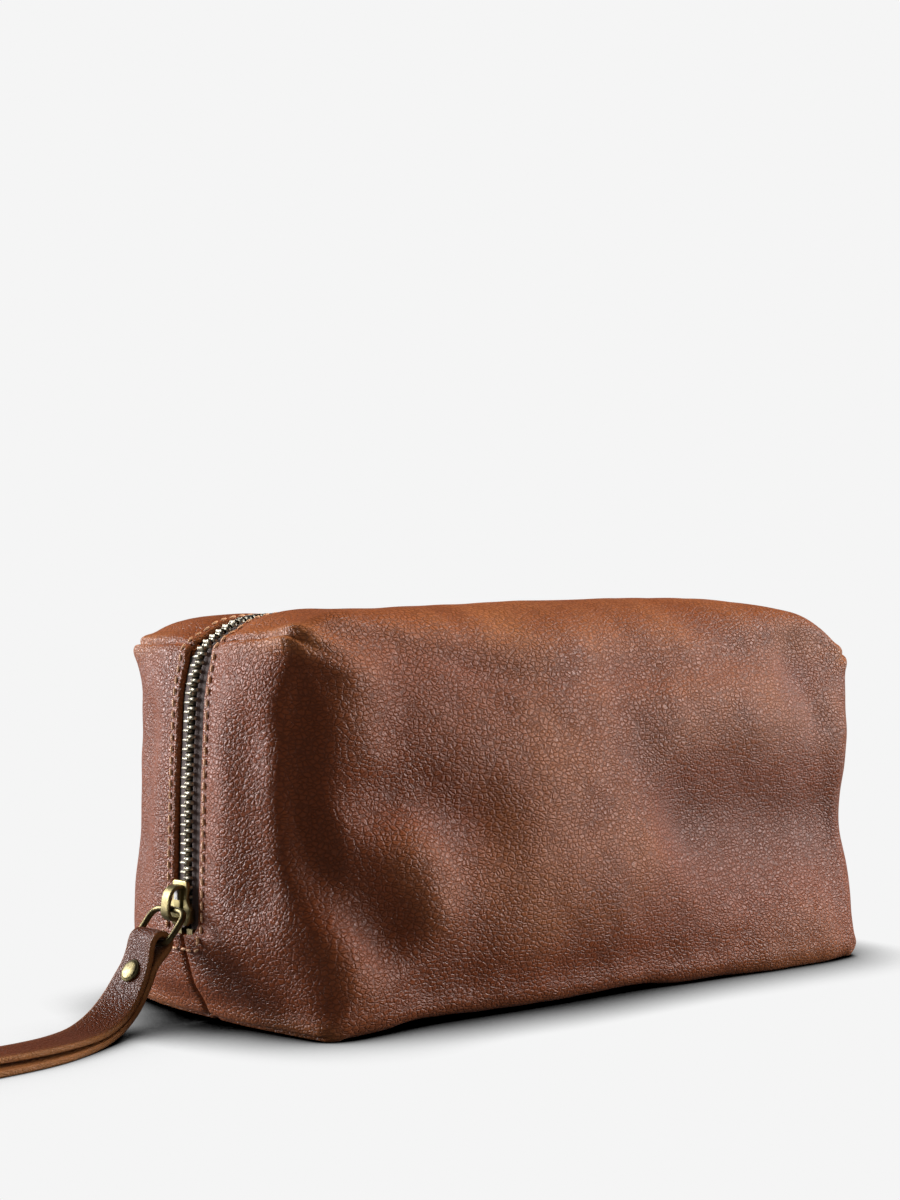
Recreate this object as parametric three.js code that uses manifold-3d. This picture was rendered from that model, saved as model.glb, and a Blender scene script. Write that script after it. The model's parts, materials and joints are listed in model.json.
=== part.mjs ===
// Leather wash bag with a metal zip over the top and down both ends.
// Millimetres. +X runs along the bag away from the slider, the front faces -Y, +Z is up.
// The origin is the middle of the flat base.
import * as THREE from 'three';
import { ParametricGeometry } from 'three/addons/geometries/ParametricGeometry.js';
import { mergeVertices } from 'three/addons/utils/BufferGeometryUtils.js';
import Module from 'manifold-3d';

const wasm = await Module();
wasm.setup();

// ---- driving dimensions ----
const BASE_HALF_LENGTH = 118;
const TOP_HALF_LENGTH = 125;
const BASE_HALF_DEPTH = 50;
const TOP_HALF_DEPTH = 41;
const EDGE_HEIGHT = 118;          // flat top before the crown and the rise are added
const CROWN = 5;                  // swell of the top at its middle
const RISE_PER_MM = 0.0004;       // the bag stands taller away from the slider
const END_BULGE = 13;             // swell of each end along the zip
const BASE_BULGE = 5;
const BULGE_HEIGHT = 25;          // height at which the end has its full swell
const CORNER_POWER = 7;           // squareness of the plan outline
const BASE_RADIUS = 6;
const TOP_RADIUS = 18;

const LEATHER = 1.8;
const TAPE_INSET = 2.1;
const TAPE = 0.6;
const LINING_INSET = 3.0;
const LINING = 1.0;
const GAP = 0.3;

const FOLD_HEIGHT = 24;           // the walls swing open above this line
const SLOT_HALF_WIDTH = 6.5;      // leather edge to the middle of the zip
const LINING_HALF_SLOT = 12;
const TAPE_EDGE = 4.5;
const TAPE_HALF_WIDTH = 14;
const BASE_LAP = 4;               // the front base piece laps over the back one
const LAP_MARGIN = 0.54;          // the cut for the lap runs a little above the leather

const TOOTH_PITCH = 2.65;
const TOOTH_HEIGHT = 2.4;
const TOOTH_OVERLAP = 0.8;        // how far a tooth passes the middle line
const BEAD_INNER = 3.3;
const BEAD_WIDTH = 0.9;
const CHAIN_INSET = 2.4;
const CHAIN_START = 33.4;         // height of the first tooth, inside the slider
const CHAIN_END = 28.6;

const SLIDER_HEIGHT = 34;         // middle of the slider on the near end
const SLIDER_LENGTH = 12.5;
const SLIDER_TOP_HALF = 4.6;
const SLIDER_LOW_HALF = 5.8;
const PLATE = 1.3;
const PLATE_CLEARANCE = 0.4;
const INNER_CLEARANCE = 1.5;      // the inner plate also clears the tapes
const DIVIDER_HALF = 1.4;
const DIVIDER_START = 0.4;
const DIVIDER_LENGTH = 5;
const BRIDGE_WIDTH = 4.6;
const BRIDGE_HEIGHT = 5.6;
const BRIDGE_LENGTH = 10.4;
const EYE_RADIUS = 1.8;
const EYE_OUT = 2.9;              // eye centre above the slider's outer plate
const EYE_DOWN = 1.6;             // eye centre below the slider's middle

const RING_HALF_WIDTH = 8.3;
const RING_POWER = 4;             // 2 would be an oval; more flattens the side that holds the strap
const RING_WIRE = 0.9;
const ANGLE_STEP = 0.01;          // for the direction of the ring's wire
const STRAP_BAR = new THREE.Vector3(-142.8, 0, 23.9);

const STRAP_WIDTH = 12.6;
const STRAP_HALF_THICKNESS = 1.95;
const STRAP_SLIT = 0.2;
const STRAP_LAYER = 1.7;
const NOSE_FADE = 3.2;            // distance over which the fold's two layers come together
const NOSE_RADIUS = 3.6;
const NOSE_EYE = 1.8;
const STRAP_STEP = 4.5;
const RIVET_DISTANCE = 9.5;
const RIVET_CAP_RADIUS = 3.1;
const RIVET_CAP_HEIGHT = 1.3;
const RIVET_CAP_SQUARENESS = 0.6; // below 1 the dome is flatter on top
const RIVET_RIM = 0.3;            // upright rim under the dome
const RIVET_POST_RADIUS = 1.1;
const RIVET_HOLE_RADIUS = 1.5;

const AROUND = 32;
const BIG = 400;

// ---- finishes ----
function finish(name, color, roughness, metalness) {
  return () => new THREE.MeshStandardMaterial({ name, color, roughness, metalness });
}
const leather = finish('leather', 0x6b3a22, 0.45, 0);
const strapLeather = finish('strap_leather', 0x5a2d1c, 0.4, 0);
const liningCloth = finish('lining', 0x2e2622, 0.9, 0);
const tapeCloth = finish('zip_tape', 0x3a2622, 0.85, 0);
const brass = finish('antique_brass', 0x8a7446, 0.35, 1);
const steel = finish('spring_steel', 0x8c8c8a, 0.3, 1);

// ---- joining and cutting ----
function toSolid(geometry, matrix) {
  const bare = geometry.clone();
  bare.deleteAttribute('normal');
  bare.deleteAttribute('uv');
  if (matrix) {
    bare.applyMatrix4(matrix);
  }
  const merged = mergeVertices(bare, 1e-4);
  const triangles = [];
  for (let i = 0; i < merged.index.count; i += 3) {
    const [a, b, c] = [0, 1, 2].map((k) => merged.index.getX(i + k));
    if (a !== b && b !== c && c !== a) {
      triangles.push(a, b, c);
    }
  }
  const vertProperties = new Float32Array(merged.attributes.position.array);
  const triVerts = new Uint32Array(triangles);
  return new wasm.Manifold(new wasm.Mesh({ numProp: 3, vertProperties, triVerts }));
}

function toGeometry(solid) {
  const mesh = solid.getMesh();
  const geometry = new THREE.BufferGeometry();
  geometry.setAttribute('position', new THREE.BufferAttribute(new Float32Array(mesh.vertProperties), 3));
  geometry.setIndex(new THREE.BufferAttribute(new Uint32Array(mesh.triVerts), 1));
  geometry.computeVertexNormals();
  return geometry;
}

function block(xMin, xMax, yMin, yMax, zMin, zMax) {
  const geometry = new THREE.BoxGeometry(xMax - xMin, yMax - yMin, zMax - zMin);
  geometry.translate((xMin + xMax) / 2, (yMin + yMax) / 2, (zMin + zMax) / 2);
  return toSolid(geometry);
}

// ---- the bag's outer form, and the same form moved inwards ----
function ringsOfForm(inset) {
  const baseRadius = Math.max(BASE_RADIUS - inset, 1.5);
  const topRadius = TOP_RADIUS - inset;
  const top = EDGE_HEIGHT - inset;
  const rings = [{ scale: 0, inward: 0, z: inset }];
  for (const turn of [0, 0.5, 1]) {
    const angle = turn * Math.PI / 2;
    rings.push({
      scale: 1, inward: baseRadius * (1 - Math.sin(angle)), z: inset + baseRadius * (1 - Math.cos(angle)),
    });
  }
  for (const height of [BULGE_HEIGHT * 0.6, BULGE_HEIGHT, EDGE_HEIGHT * 0.5]) {
    rings.push({ scale: 1, inward: 0, z: height });
  }
  for (const turn of [0, 0.25, 0.5, 0.75, 1]) {
    const angle = turn * Math.PI / 2;
    rings.push({
      scale: 1, inward: topRadius * (1 - Math.cos(angle)), z: top - topRadius * (1 - Math.sin(angle)),
    });
  }
  for (const scale of [0.7, 0.35, 0]) {
    rings.push({ scale, inward: topRadius, z: top + CROWN * (1 - scale * scale) });
  }
  return rings;
}

function signedPower(value, power) {
  return Math.abs(value) < 1e-9 ? 0 : Math.sign(value) * Math.pow(Math.abs(value), power);
}

function formPoint(inset) {
  const rings = ringsOfForm(inset);
  const last = rings.length - 1;
  return (u, v, target) => {
    const place = Math.min(Math.max(v, 0), 1) * last;
    const low = Math.min(Math.floor(place), last - 1);
    const part = place - low;
    const mix = (key) => rings[low][key] * (1 - part) + rings[low + 1][key] * part;
    const z = mix('z');
    const share = Math.min(z / EDGE_HEIGHT, 1);
    const halfLength = BASE_HALF_LENGTH + (TOP_HALF_LENGTH - BASE_HALF_LENGTH) * share - inset;
    const halfDepth = BASE_HALF_DEPTH + (TOP_HALF_DEPTH - BASE_HALF_DEPTH) * share - inset;
    const angle = u * Math.PI * 2;
    const alongX = signedPower(Math.cos(angle), 2 / CORNER_POWER);
    const alongY = signedPower(Math.sin(angle), 2 / CORNER_POWER);
    const filled = THREE.MathUtils.smoothstep(z, 0, BULGE_HEIGHT);
    const bulge = BASE_BULGE + (END_BULGE - BASE_BULGE) * filled;
    const swell = bulge * (1 - alongY * alongY) * alongX;
    const x = ((halfLength - mix('inward')) * alongX + swell) * mix('scale');
    const y = (halfDepth - mix('inward')) * alongY * mix('scale');
    target.set(x, y, z * (1 + RISE_PER_MM * x));
  };
}

function form(inset) {
  const stacks = ringsOfForm(inset).length - 1;
  const solid = toSolid(new ParametricGeometry(formPoint(inset), AROUND, stacks));
  if (solid.volume() > 0) {
    return solid;
  }
  throw new Error('the form is inside out');
}

function shell(inset, thickness) {
  return form(inset).subtract(form(inset + thickness));
}

// ---- the leather, lining and tape are cut from shells ----
function halfSpace(side, from) {
  return side < 0 ? block(-BIG, BIG, -BIG, -from, -BIG, BIG) : block(-BIG, BIG, from, BIG, -BIG, BIG);
}

const above = block(-BIG, BIG, -BIG, BIG, FOLD_HEIGHT, BIG);
const below = block(-BIG, BIG, -BIG, BIG, -BIG, FOLD_HEIGHT - GAP);
const leatherShell = shell(0, LEATHER);
const liningShell = shell(LINING_INSET, LINING);
const tapeShell = shell(TAPE_INSET, TAPE);

const tub = leatherShell.intersect(below);
const floorReach = BASE_HALF_LENGTH - BASE_RADIUS;
const floorTop = LEATHER + LAP_MARGIN;
const floorLap = block(-floorReach, floorReach, -BIG, BASE_LAP, -1, floorTop);
const floorGap = block(-floorReach - GAP, floorReach + GAP, -BIG, BASE_LAP + GAP, -1, floorTop);
const baseFront = tub.intersect(halfSpace(-1, GAP / 2).add(floorLap));
const baseBack = tub.intersect(halfSpace(1, GAP / 2)).subtract(floorGap);

function panel(side) {
  return leatherShell.intersect(above).intersect(halfSpace(side, SLOT_HALF_WIDTH));
}

function liningHalf(side) {
  return liningShell.intersect(above).intersect(halfSpace(side, LINING_HALF_SLOT));
}

function tapeHalf(side) {
  const inner = tapeShell.intersect(above).intersect(halfSpace(side, TAPE_EDGE));
  return inner.subtract(halfSpace(side, TAPE_HALF_WIDTH));
}

// ---- zip teeth on their bead ----
function pathUpOneEnd(inset, u, startHeight) {
  // From the start height, ring by ring, to the middle of the top.
  const point = formPoint(inset);
  const count = ringsOfForm(inset).length - 1;
  const fine = 20;
  const points = [];
  for (let i = 0; i <= count * fine; i += 1) {
    const here = new THREE.Vector3();
    point(u, i / (count * fine), here);
    const isStart = points.length === 0;
    if (here.z >= startHeight && (isStart || i % fine === 0)) {
      points.push(here);
    }
  }
  return points;
}

function chainPath(inset, nearHeight, farHeight) {
  const near = pathUpOneEnd(inset, 0.5, nearHeight);
  const far = pathUpOneEnd(inset, 0, farHeight).slice(0, -1);
  return new THREE.CatmullRomCurve3([...near, ...far.reverse()], false, 'centripetal');
}

function rectangle(xMin, xMax, yMin, yMax) {
  return new THREE.Shape([
    new THREE.Vector2(xMin, yMin), new THREE.Vector2(xMax, yMin),
    new THREE.Vector2(xMax, yMax), new THREE.Vector2(xMin, yMax),
  ]);
}

const chain = chainPath(CHAIN_INSET, CHAIN_START, CHAIN_END);
const chainLength = chain.getLength();
const toothCount = Math.floor(chainLength / TOOTH_PITCH) - 1;
const toothSpacing = chainLength / (toothCount + 0.5);

function combRings(shift) {
  // Each ring gives the distance along the chain, how far its inner face is from the middle line,
  // and whether the ring closes the bar's end.
  const rings = [{ s: 0, inner: BEAD_INNER, closed: true }, { s: 0, inner: BEAD_INNER, closed: false }];
  for (let i = 0; i < toothCount; i += 1) {
    const middle = (i + 0.5 + shift) * toothSpacing;
    rings.push({ s: middle - toothSpacing / 2, inner: BEAD_INNER, closed: false });
    rings.push({ s: middle, inner: -TOOTH_OVERLAP, closed: false });
  }
  rings.push({ s: chainLength, inner: BEAD_INNER, closed: false });
  rings.push({ s: chainLength, inner: BEAD_INNER, closed: true });
  return rings;
}

function toothRow(side) {
  const rings = combRings(side < 0 ? 0 : 0.5);
  const across = new THREE.Vector3(0, side, 0);
  const outer = BEAD_INNER + BEAD_WIDTH;
  const corner = (u, v, target) => {
    const ring = rings[Math.round(v * (rings.length - 1))];
    const turn = Math.round(u * 4) % 4;
    const at = THREE.MathUtils.clamp(ring.s / chainLength, 0, 1);
    const outwards = new THREE.Vector3().crossVectors(chain.getTangentAt(at), across);
    const isOuter = turn === 0 || turn === 3;
    const reach = ring.closed ? (outer + ring.inner) / 2 : (isOuter ? outer : ring.inner);
    const height = ring.closed ? 0 : (turn < 2 ? TOOTH_HEIGHT / 2 : -TOOTH_HEIGHT / 2);
    target.copy(chain.getPointAt(at)).addScaledVector(across, reach).addScaledVector(outwards, height);
  };
  return toSolid(new ParametricGeometry(corner, 4, rings.length - 1));
}

// ---- slider, its bridge and lock spring, drawn with x outwards and y up ----
const surface = new THREE.Vector3();
chain.getPointAt(0, surface);
const chainFace = -surface.x + TOOTH_HEIGHT / 2;
const plateFace = chainFace + PLATE_CLEARANCE + PLATE;
const innerFace = chainFace - TOOTH_HEIGHT - INNER_CLEARANCE;

function plateOutline() {
  const half = SLIDER_LENGTH / 2;
  const outline = new THREE.Shape();
  outline.moveTo(-SLIDER_TOP_HALF + 1.5, half);
  outline.lineTo(SLIDER_TOP_HALF - 1.5, half);
  outline.quadraticCurveTo(SLIDER_TOP_HALF, half, SLIDER_TOP_HALF, half - 2);
  outline.quadraticCurveTo(SLIDER_TOP_HALF, 0, SLIDER_LOW_HALF, -1.5);
  outline.lineTo(SLIDER_LOW_HALF, -half + 2);
  outline.quadraticCurveTo(SLIDER_LOW_HALF, -half, SLIDER_LOW_HALF - 2, -half);
  outline.lineTo(-SLIDER_LOW_HALF + 2, -half);
  outline.quadraticCurveTo(-SLIDER_LOW_HALF, -half, -SLIDER_LOW_HALF, -half + 2);
  outline.lineTo(-SLIDER_LOW_HALF, -1.5);
  outline.quadraticCurveTo(-SLIDER_TOP_HALF, 0, -SLIDER_TOP_HALF, half - 2);
  outline.quadraticCurveTo(-SLIDER_TOP_HALF, half, -SLIDER_TOP_HALF + 1.5, half);
  return outline;
}

function plate(from, to) {
  // Drawn flat, then turned so that the plate faces -X between the distances from and to.
  const settings = { depth: to - from, bevelEnabled: false, curveSegments: 4 };
  const geometry = new THREE.ExtrudeGeometry(plateOutline(), settings);
  const turn = new THREE.Matrix4().makeBasis(
    new THREE.Vector3(0, -1, 0), new THREE.Vector3(0, 0, 1), new THREE.Vector3(-1, 0, 0),
  );
  turn.setPosition(-from, 0, SLIDER_HEIGHT);
  return toSolid(geometry, turn);
}

function sliderBody() {
  const low = SLIDER_HEIGHT - SLIDER_LENGTH / 2;
  const divider = block(
    -plateFace + PLATE / 2, -innerFace + PLATE / 2,
    -DIVIDER_HALF, DIVIDER_HALF, low + DIVIDER_START, low + DIVIDER_LENGTH,
  );
  return plate(plateFace - PLATE, plateFace).add(plate(innerFace - PLATE, innerFace)).add(divider);
}

function uprightSlice(outline, width) {
  // The outline's x points outwards (-X of the bag) and its y up; the slice is centred on the zip.
  const settings = { depth: width, bevelEnabled: false, curveSegments: 6 };
  const geometry = new THREE.ExtrudeGeometry(outline, settings);
  const turn = new THREE.Matrix4().makeBasis(
    new THREE.Vector3(-1, 0, 0), new THREE.Vector3(0, 0, 1), new THREE.Vector3(0, 1, 0),
  );
  turn.setPosition(-plateFace, -width / 2, SLIDER_HEIGHT);
  return toSolid(geometry, turn);
}

function sliderBridge() {
  const half = BRIDGE_LENGTH / 2;
  const outline = new THREE.Shape();
  outline.moveTo(GAP, -half);
  outline.lineTo(BRIDGE_HEIGHT * 0.45, -half);
  outline.quadraticCurveTo(BRIDGE_HEIGHT, -half, BRIDGE_HEIGHT, -half * 0.35);
  outline.quadraticCurveTo(BRIDGE_HEIGHT, half * 0.6, BRIDGE_HEIGHT * 0.5, half);
  outline.lineTo(GAP, half);
  outline.closePath();
  const eye = new THREE.Path();
  eye.absarc(EYE_OUT, -EYE_DOWN, EYE_RADIUS, 0, Math.PI * 2, true);
  outline.holes.push(eye);
  const groove = new THREE.Shape();
  groove.moveTo(-1, half * 0.1);
  groove.lineTo(1.6, half * 0.1);
  groove.lineTo(1.6, half * 0.82);
  groove.lineTo(-1, half * 0.82);
  groove.closePath();
  return uprightSlice(outline, BRIDGE_WIDTH).subtract(uprightSlice(groove, BRIDGE_WIDTH / 2));
}

function lockSpring() {
  const half = BRIDGE_LENGTH / 2;
  return uprightSlice(rectangle(GAP, 1.2, half * 0.18, half * 0.74), BRIDGE_WIDTH / 2 - 2 * GAP);
}

// ---- ring ----
const ringPivot = new THREE.Vector3(-plateFace - EYE_OUT, 0, SLIDER_HEIGHT - EYE_DOWN);

function ringOutline(angle, halfHeight) {
  const x = RING_HALF_WIDTH * signedPower(Math.cos(angle), 2 / RING_POWER);
  return new THREE.Vector2(x, halfHeight * signedPower(Math.sin(angle), 2 / RING_POWER));
}

function pullRing() {
  const down = new THREE.Vector3().subVectors(STRAP_BAR, ringPivot);
  const halfHeight = down.length() / 2;
  down.normalize();
  const across = new THREE.Vector3(0, 1, 0);
  const facing = new THREE.Vector3().crossVectors(across, down);
  const torus = new THREE.TorusGeometry(RING_HALF_WIDTH, RING_WIRE, 10, 48);
  const position = torus.attributes.position;
  for (let i = 0; i < position.count; i += 1) {
    const angle = Math.atan2(position.getY(i), position.getX(i));
    const wire = Math.hypot(position.getX(i), position.getY(i)) - RING_HALF_WIDTH;
    const onRing = ringOutline(angle, halfHeight);
    const before = ringOutline(angle - ANGLE_STEP, halfHeight);
    const ahead = ringOutline(angle + ANGLE_STEP, halfHeight).sub(before).normalize();
    position.setXY(i, onRing.x + ahead.y * wire, onRing.y - ahead.x * wire);
  }
  const turn = new THREE.Matrix4().makeBasis(across, down, facing);
  const centre = new THREE.Vector3().addVectors(ringPivot, STRAP_BAR).multiplyScalar(0.5);
  turn.setPosition(centre);
  return toSolid(torus, turn);
}

// ---- wrist strap: one strip folded round the ring, lying on the surface to its far fold ----
const strapRoute = new THREE.CatmullRomCurve3([
  STRAP_BAR,
  new THREE.Vector3(-145.6, 0, 19.0),
  new THREE.Vector3(-148.4, -0.3, 14.2),
  new THREE.Vector3(-152.6, -1.5, 8.8),
  new THREE.Vector3(-158.4, -4.2, 4.9),
  new THREE.Vector3(-166.0, -8.6, 2.7),
  new THREE.Vector3(-175.5, -14.0, 2.15),
  new THREE.Vector3(-187.0, -18.4, 2.15),
  new THREE.Vector3(-205.0, -20.6, 2.15),
  new THREE.Vector3(-230.0, -21.0, 2.15),
  new THREE.Vector3(-255.0, -20.6, 2.15),
  new THREE.Vector3(-276.0, -20.2, 2.15),
], false, 'centripetal');
const strapLength = strapRoute.getLength();

function strapFrame(distance) {
  const at = THREE.MathUtils.clamp(distance / strapLength, 0, 1);
  const along = strapRoute.getTangentAt(at);
  const side = new THREE.Vector3(-along.y, along.x, 0).normalize();
  const normal = new THREE.Vector3().crossVectors(along, side);
  const place = strapRoute.getPointAt(at).addScaledVector(along, distance - at * strapLength);
  return { place, along, side, normal };
}

function strapHalfThickness(distance) {
  return STRAP_HALF_THICKNESS + (NOSE_RADIUS - STRAP_HALF_THICKNESS) * Math.exp(-((distance / 4) ** 2));
}

function strapLoop() {
  // The strip's middle line as (distance, offset): round the ring, out, round the far fold and back.
  const points = [];
  const noseRadius = (NOSE_RADIUS + NOSE_EYE) / 2;
  const noseSwell = noseRadius - NOSE_RADIUS / 2;
  const layer = (s) => {
    const flat = STRAP_SLIT / 2 + strapHalfThickness(s) / 2;
    return flat + noseSwell * Math.exp(-((s / NOSE_FADE) ** 2));
  };
  const farCentre = strapLength - STRAP_HALF_THICKNESS;
  const count = Math.round(farCentre / STRAP_STEP);
  for (let i = 0; i <= 6; i += 1) {
    const angle = Math.PI / 2 + (Math.PI * i) / 6;
    points.push(new THREE.Vector2(noseRadius * Math.cos(angle), noseRadius * Math.sin(angle)));
  }
  for (let i = 1; i <= count; i += 1) {
    const s = (farCentre * i) / count;
    points.push(new THREE.Vector2(s, -layer(s)));
  }
  points.push(new THREE.Vector2(farCentre + layer(farCentre), 0));
  for (let i = count; i >= 1; i -= 1) {
    const s = (farCentre * i) / count;
    points.push(new THREE.Vector2(s, layer(s)));
  }
  return points;
}

function alongStrap(radius, from, to) {
  const cylinder = new THREE.CylinderGeometry(radius, radius, to - from, 16);
  const frame = strapFrame(RIVET_DISTANCE);
  const turn = new THREE.Matrix4().makeBasis(frame.along.clone().negate(), frame.normal, frame.side);
  turn.setPosition(frame.place.clone().addScaledVector(frame.normal, (from + to) / 2));
  return toSolid(cylinder, turn);
}

function wristStrap() {
  const loop = strapLoop();
  const count = loop.length;
  const corner = (u, v, target) => {
    const index = Math.round(v * count) % count;
    const turn = Math.round(u * 4) % 4;
    const before = loop[(index + count - 1) % count];
    const after = loop[(index + 1) % count];
    const outwards = new THREE.Vector2(before.y - after.y, after.x - before.x).normalize();
    const lift = (turn === 0 || turn === 3) ? -STRAP_LAYER / 2 : STRAP_LAYER / 2;
    const { place, side, normal } = strapFrame(loop[index].x + outwards.x * lift);
    place.addScaledVector(normal, loop[index].y + outwards.y * lift);
    target.copy(place).addScaledVector(side, turn < 2 ? STRAP_WIDTH / 2 : -STRAP_WIDTH / 2);
  };
  return toSolid(new ParametricGeometry(corner, 4, count)).subtract(alongStrap(RIVET_HOLE_RADIUS, -6, 6));
}

function rivetCap() {
  const low = strapHalfThickness(RIVET_DISTANCE - RIVET_CAP_RADIUS) + GAP;
  const profile = [new THREE.Vector2(0, 0), new THREE.Vector2(RIVET_CAP_RADIUS, 0)];
  for (let i = 1; i <= 5; i += 1) {
    const angle = (Math.PI / 2) * (i / 5);
    const radius = i === 5 ? 0 : RIVET_CAP_RADIUS * Math.cos(angle) ** RIVET_CAP_SQUARENESS;
    const height = RIVET_RIM + (RIVET_CAP_HEIGHT - RIVET_RIM) * Math.sin(angle);
    profile.push(new THREE.Vector2(radius, height));
  }
  const frame = strapFrame(RIVET_DISTANCE);
  const turn = new THREE.Matrix4().makeBasis(frame.along.clone().negate(), frame.normal, frame.side);
  turn.setPosition(frame.place.clone().addScaledVector(frame.normal, low));
  return toSolid(new THREE.LatheGeometry(profile, 24), turn);
}

function rivetPost() {
  const half = strapHalfThickness(RIVET_DISTANCE - RIVET_CAP_RADIUS);
  const head = alongStrap(RIVET_CAP_RADIUS * 0.85, -half - GAP - 0.9, -half - GAP);
  return alongStrap(RIVET_POST_RADIUS, -half - GAP - 0.5, half).add(head);
}

// ---- stops at the zip's two ends ----
function nearStop(side) {
  const low = FOLD_HEIGHT + GAP;
  const yMin = side < 0 ? -BEAD_INNER - BEAD_WIDTH : DIVIDER_HALF;
  const yMax = side < 0 ? -DIVIDER_HALF : BEAD_INNER + BEAD_WIDTH;
  return block(-chainFace, -chainFace + TOOTH_HEIGHT, yMin, yMax, low, low + 2.4);
}

function farStop() {
  const end = chain.getPointAt(1);
  const low = FOLD_HEIGHT + GAP;
  const half = BEAD_INNER + BEAD_WIDTH;
  return block(end.x - TOOTH_HEIGHT / 2, end.x + TOOTH_HEIGHT / 2, -half, half, low, CHAIN_END - GAP - 0.4);
}

// ---- the assembly ----
const group = new THREE.Group();

function place(parent, name, solid, material) {
  const mesh = new THREE.Mesh(toGeometry(solid), material());
  mesh.name = name;
  parent.add(mesh);
}

const body = new THREE.Group();
place(body, 'base_front', baseFront, leather);
place(body, 'base_back', baseBack, leather);
place(body, 'base_lining', liningShell.intersect(below), liningCloth);
place(body, 'near_stop_front', nearStop(-1), brass);
place(body, 'near_stop_back', nearStop(1), brass);
place(body, 'far_stop', farStop(), brass);
group.add(body);

for (const [label, side] of [['front', -1], ['back', 1]]) {
  const half = new THREE.Group();
  place(half, `${label}_panel`, panel(side), leather);
  place(half, `${label}_lining`, liningHalf(side), liningCloth);
  place(half, `${label}_zip_tape`, tapeHalf(side), tapeCloth);
  place(half, `${label}_zip_teeth`, toothRow(side), brass);
  group.add(half);
}

const slider = new THREE.Group();
place(slider, 'slider_body', sliderBody(), brass);
place(slider, 'slider_bridge', sliderBridge(), brass);
place(slider, 'slider_lock_spring', lockSpring(), steel);
place(slider, 'pull_ring', pullRing(), brass);
place(slider, 'wrist_strap', wristStrap(), strapLeather);
place(slider, 'rivet_cap', rivetCap(), brass);
place(slider, 'rivet_post', rivetPost(), brass);
group.add(slider);

export default group;
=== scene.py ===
"""A leather wash bag: panels, zip, slider, ring and wrist strap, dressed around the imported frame."""
import json
import math

import bmesh
import bpy
import numpy as np
from bpy.props import FloatProperty, FloatVectorProperty, IntProperty, PointerProperty
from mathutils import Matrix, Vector
from mathutils.bvhtree import BVHTree

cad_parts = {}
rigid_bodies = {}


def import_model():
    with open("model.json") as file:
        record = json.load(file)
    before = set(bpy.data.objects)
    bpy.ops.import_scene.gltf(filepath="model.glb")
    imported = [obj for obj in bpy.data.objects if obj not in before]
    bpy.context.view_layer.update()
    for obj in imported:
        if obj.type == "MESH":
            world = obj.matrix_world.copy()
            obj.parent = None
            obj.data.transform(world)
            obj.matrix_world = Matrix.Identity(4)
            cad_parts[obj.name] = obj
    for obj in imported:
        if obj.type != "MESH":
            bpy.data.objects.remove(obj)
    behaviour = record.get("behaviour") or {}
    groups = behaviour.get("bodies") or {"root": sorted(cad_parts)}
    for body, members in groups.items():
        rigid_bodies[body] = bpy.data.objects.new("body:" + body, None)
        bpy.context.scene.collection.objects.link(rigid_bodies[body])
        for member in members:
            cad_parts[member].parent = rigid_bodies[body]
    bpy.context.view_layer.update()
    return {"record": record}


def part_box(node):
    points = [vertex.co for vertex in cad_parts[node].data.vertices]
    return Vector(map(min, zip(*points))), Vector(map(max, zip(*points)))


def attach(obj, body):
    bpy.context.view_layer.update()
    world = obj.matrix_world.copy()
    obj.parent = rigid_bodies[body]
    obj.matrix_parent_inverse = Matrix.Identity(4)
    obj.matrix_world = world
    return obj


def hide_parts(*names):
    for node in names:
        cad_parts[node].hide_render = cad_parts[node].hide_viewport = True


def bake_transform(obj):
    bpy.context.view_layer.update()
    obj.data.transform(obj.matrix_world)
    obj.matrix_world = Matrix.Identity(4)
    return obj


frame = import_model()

bl_info = {
    "name": "Leather wash bag",
    "version": (1, 0, 0),
    "blender": (4, 5, 0),
    "location": "View3D > Sidebar > Wash bag",
    "description": "Makes the leather, zip and strap of a boxy wash bag around its frame",
    "category": "Add Mesh",
}

MM = 0.001


def low(node):
    return np.array(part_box(node)[0]) / MM


def high(node):
    return np.array(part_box(node)[1]) / MM


# Sizes taken from the frame, in millimetres.
FOLD_HEIGHT = float(low("front_panel")[2])
SLOT_HALF = float(-high("front_panel")[1])
SLIDER_LOW = low("slider_body")
SLIDER_HIGH = high("slider_body")
PLATE_FACE = float(-SLIDER_LOW[0])
CHAIN_FACE = float(low("near_stop_front")[0] + high("near_stop_front")[0]) / 2
BASE_HALF_DEPTH = float(-low("base_front")[1]) + 2.0
BAG_MIDDLE = np.array([0.0, 0.0, 58.0])
INSIDE_HEIGHT = 55.0


# ---------------------------------------------------------------- settings
class BagSizes(bpy.types.PropertyGroup):
    ear_height: FloatProperty(
        name="Corner height", description="Height of the pinched top corners, mm", default=109.0)
    ear_half_length: FloatProperty(
        name="Corner reach", description="Half the length between the top corners, mm", default=125.0)
    base_half_length: FloatProperty(
        name="Base reach", description="Half the length of the base, mm", default=118.0)
    top_half_depth: FloatProperty(
        name="Top half depth", description="Half the depth at the top corners, mm", default=41.0)
    leather: FloatProperty(
        name="Leather thickness", description="Thickness of one layer of leather, mm", default=1.5)
    window_height: FloatProperty(
        name="Window height", description="Height of the lower end of the zip window, mm", default=25.0)


class StitchSizes(bpy.types.PropertyGroup):
    pitch: FloatProperty(
        name="Stitch pitch", description="Distance from stitch to stitch, mm", default=3.3)
    length: FloatProperty(
        name="Stitch length", description="Visible length of one stitch, mm", default=2.6)
    thickness: FloatProperty(
        name="Thread", description="Thickness of the thread, mm", default=0.8)
    inset: FloatProperty(
        name="Stitch inset", description="Distance from the leather edge to the stitches, mm", default=2.3)


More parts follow.
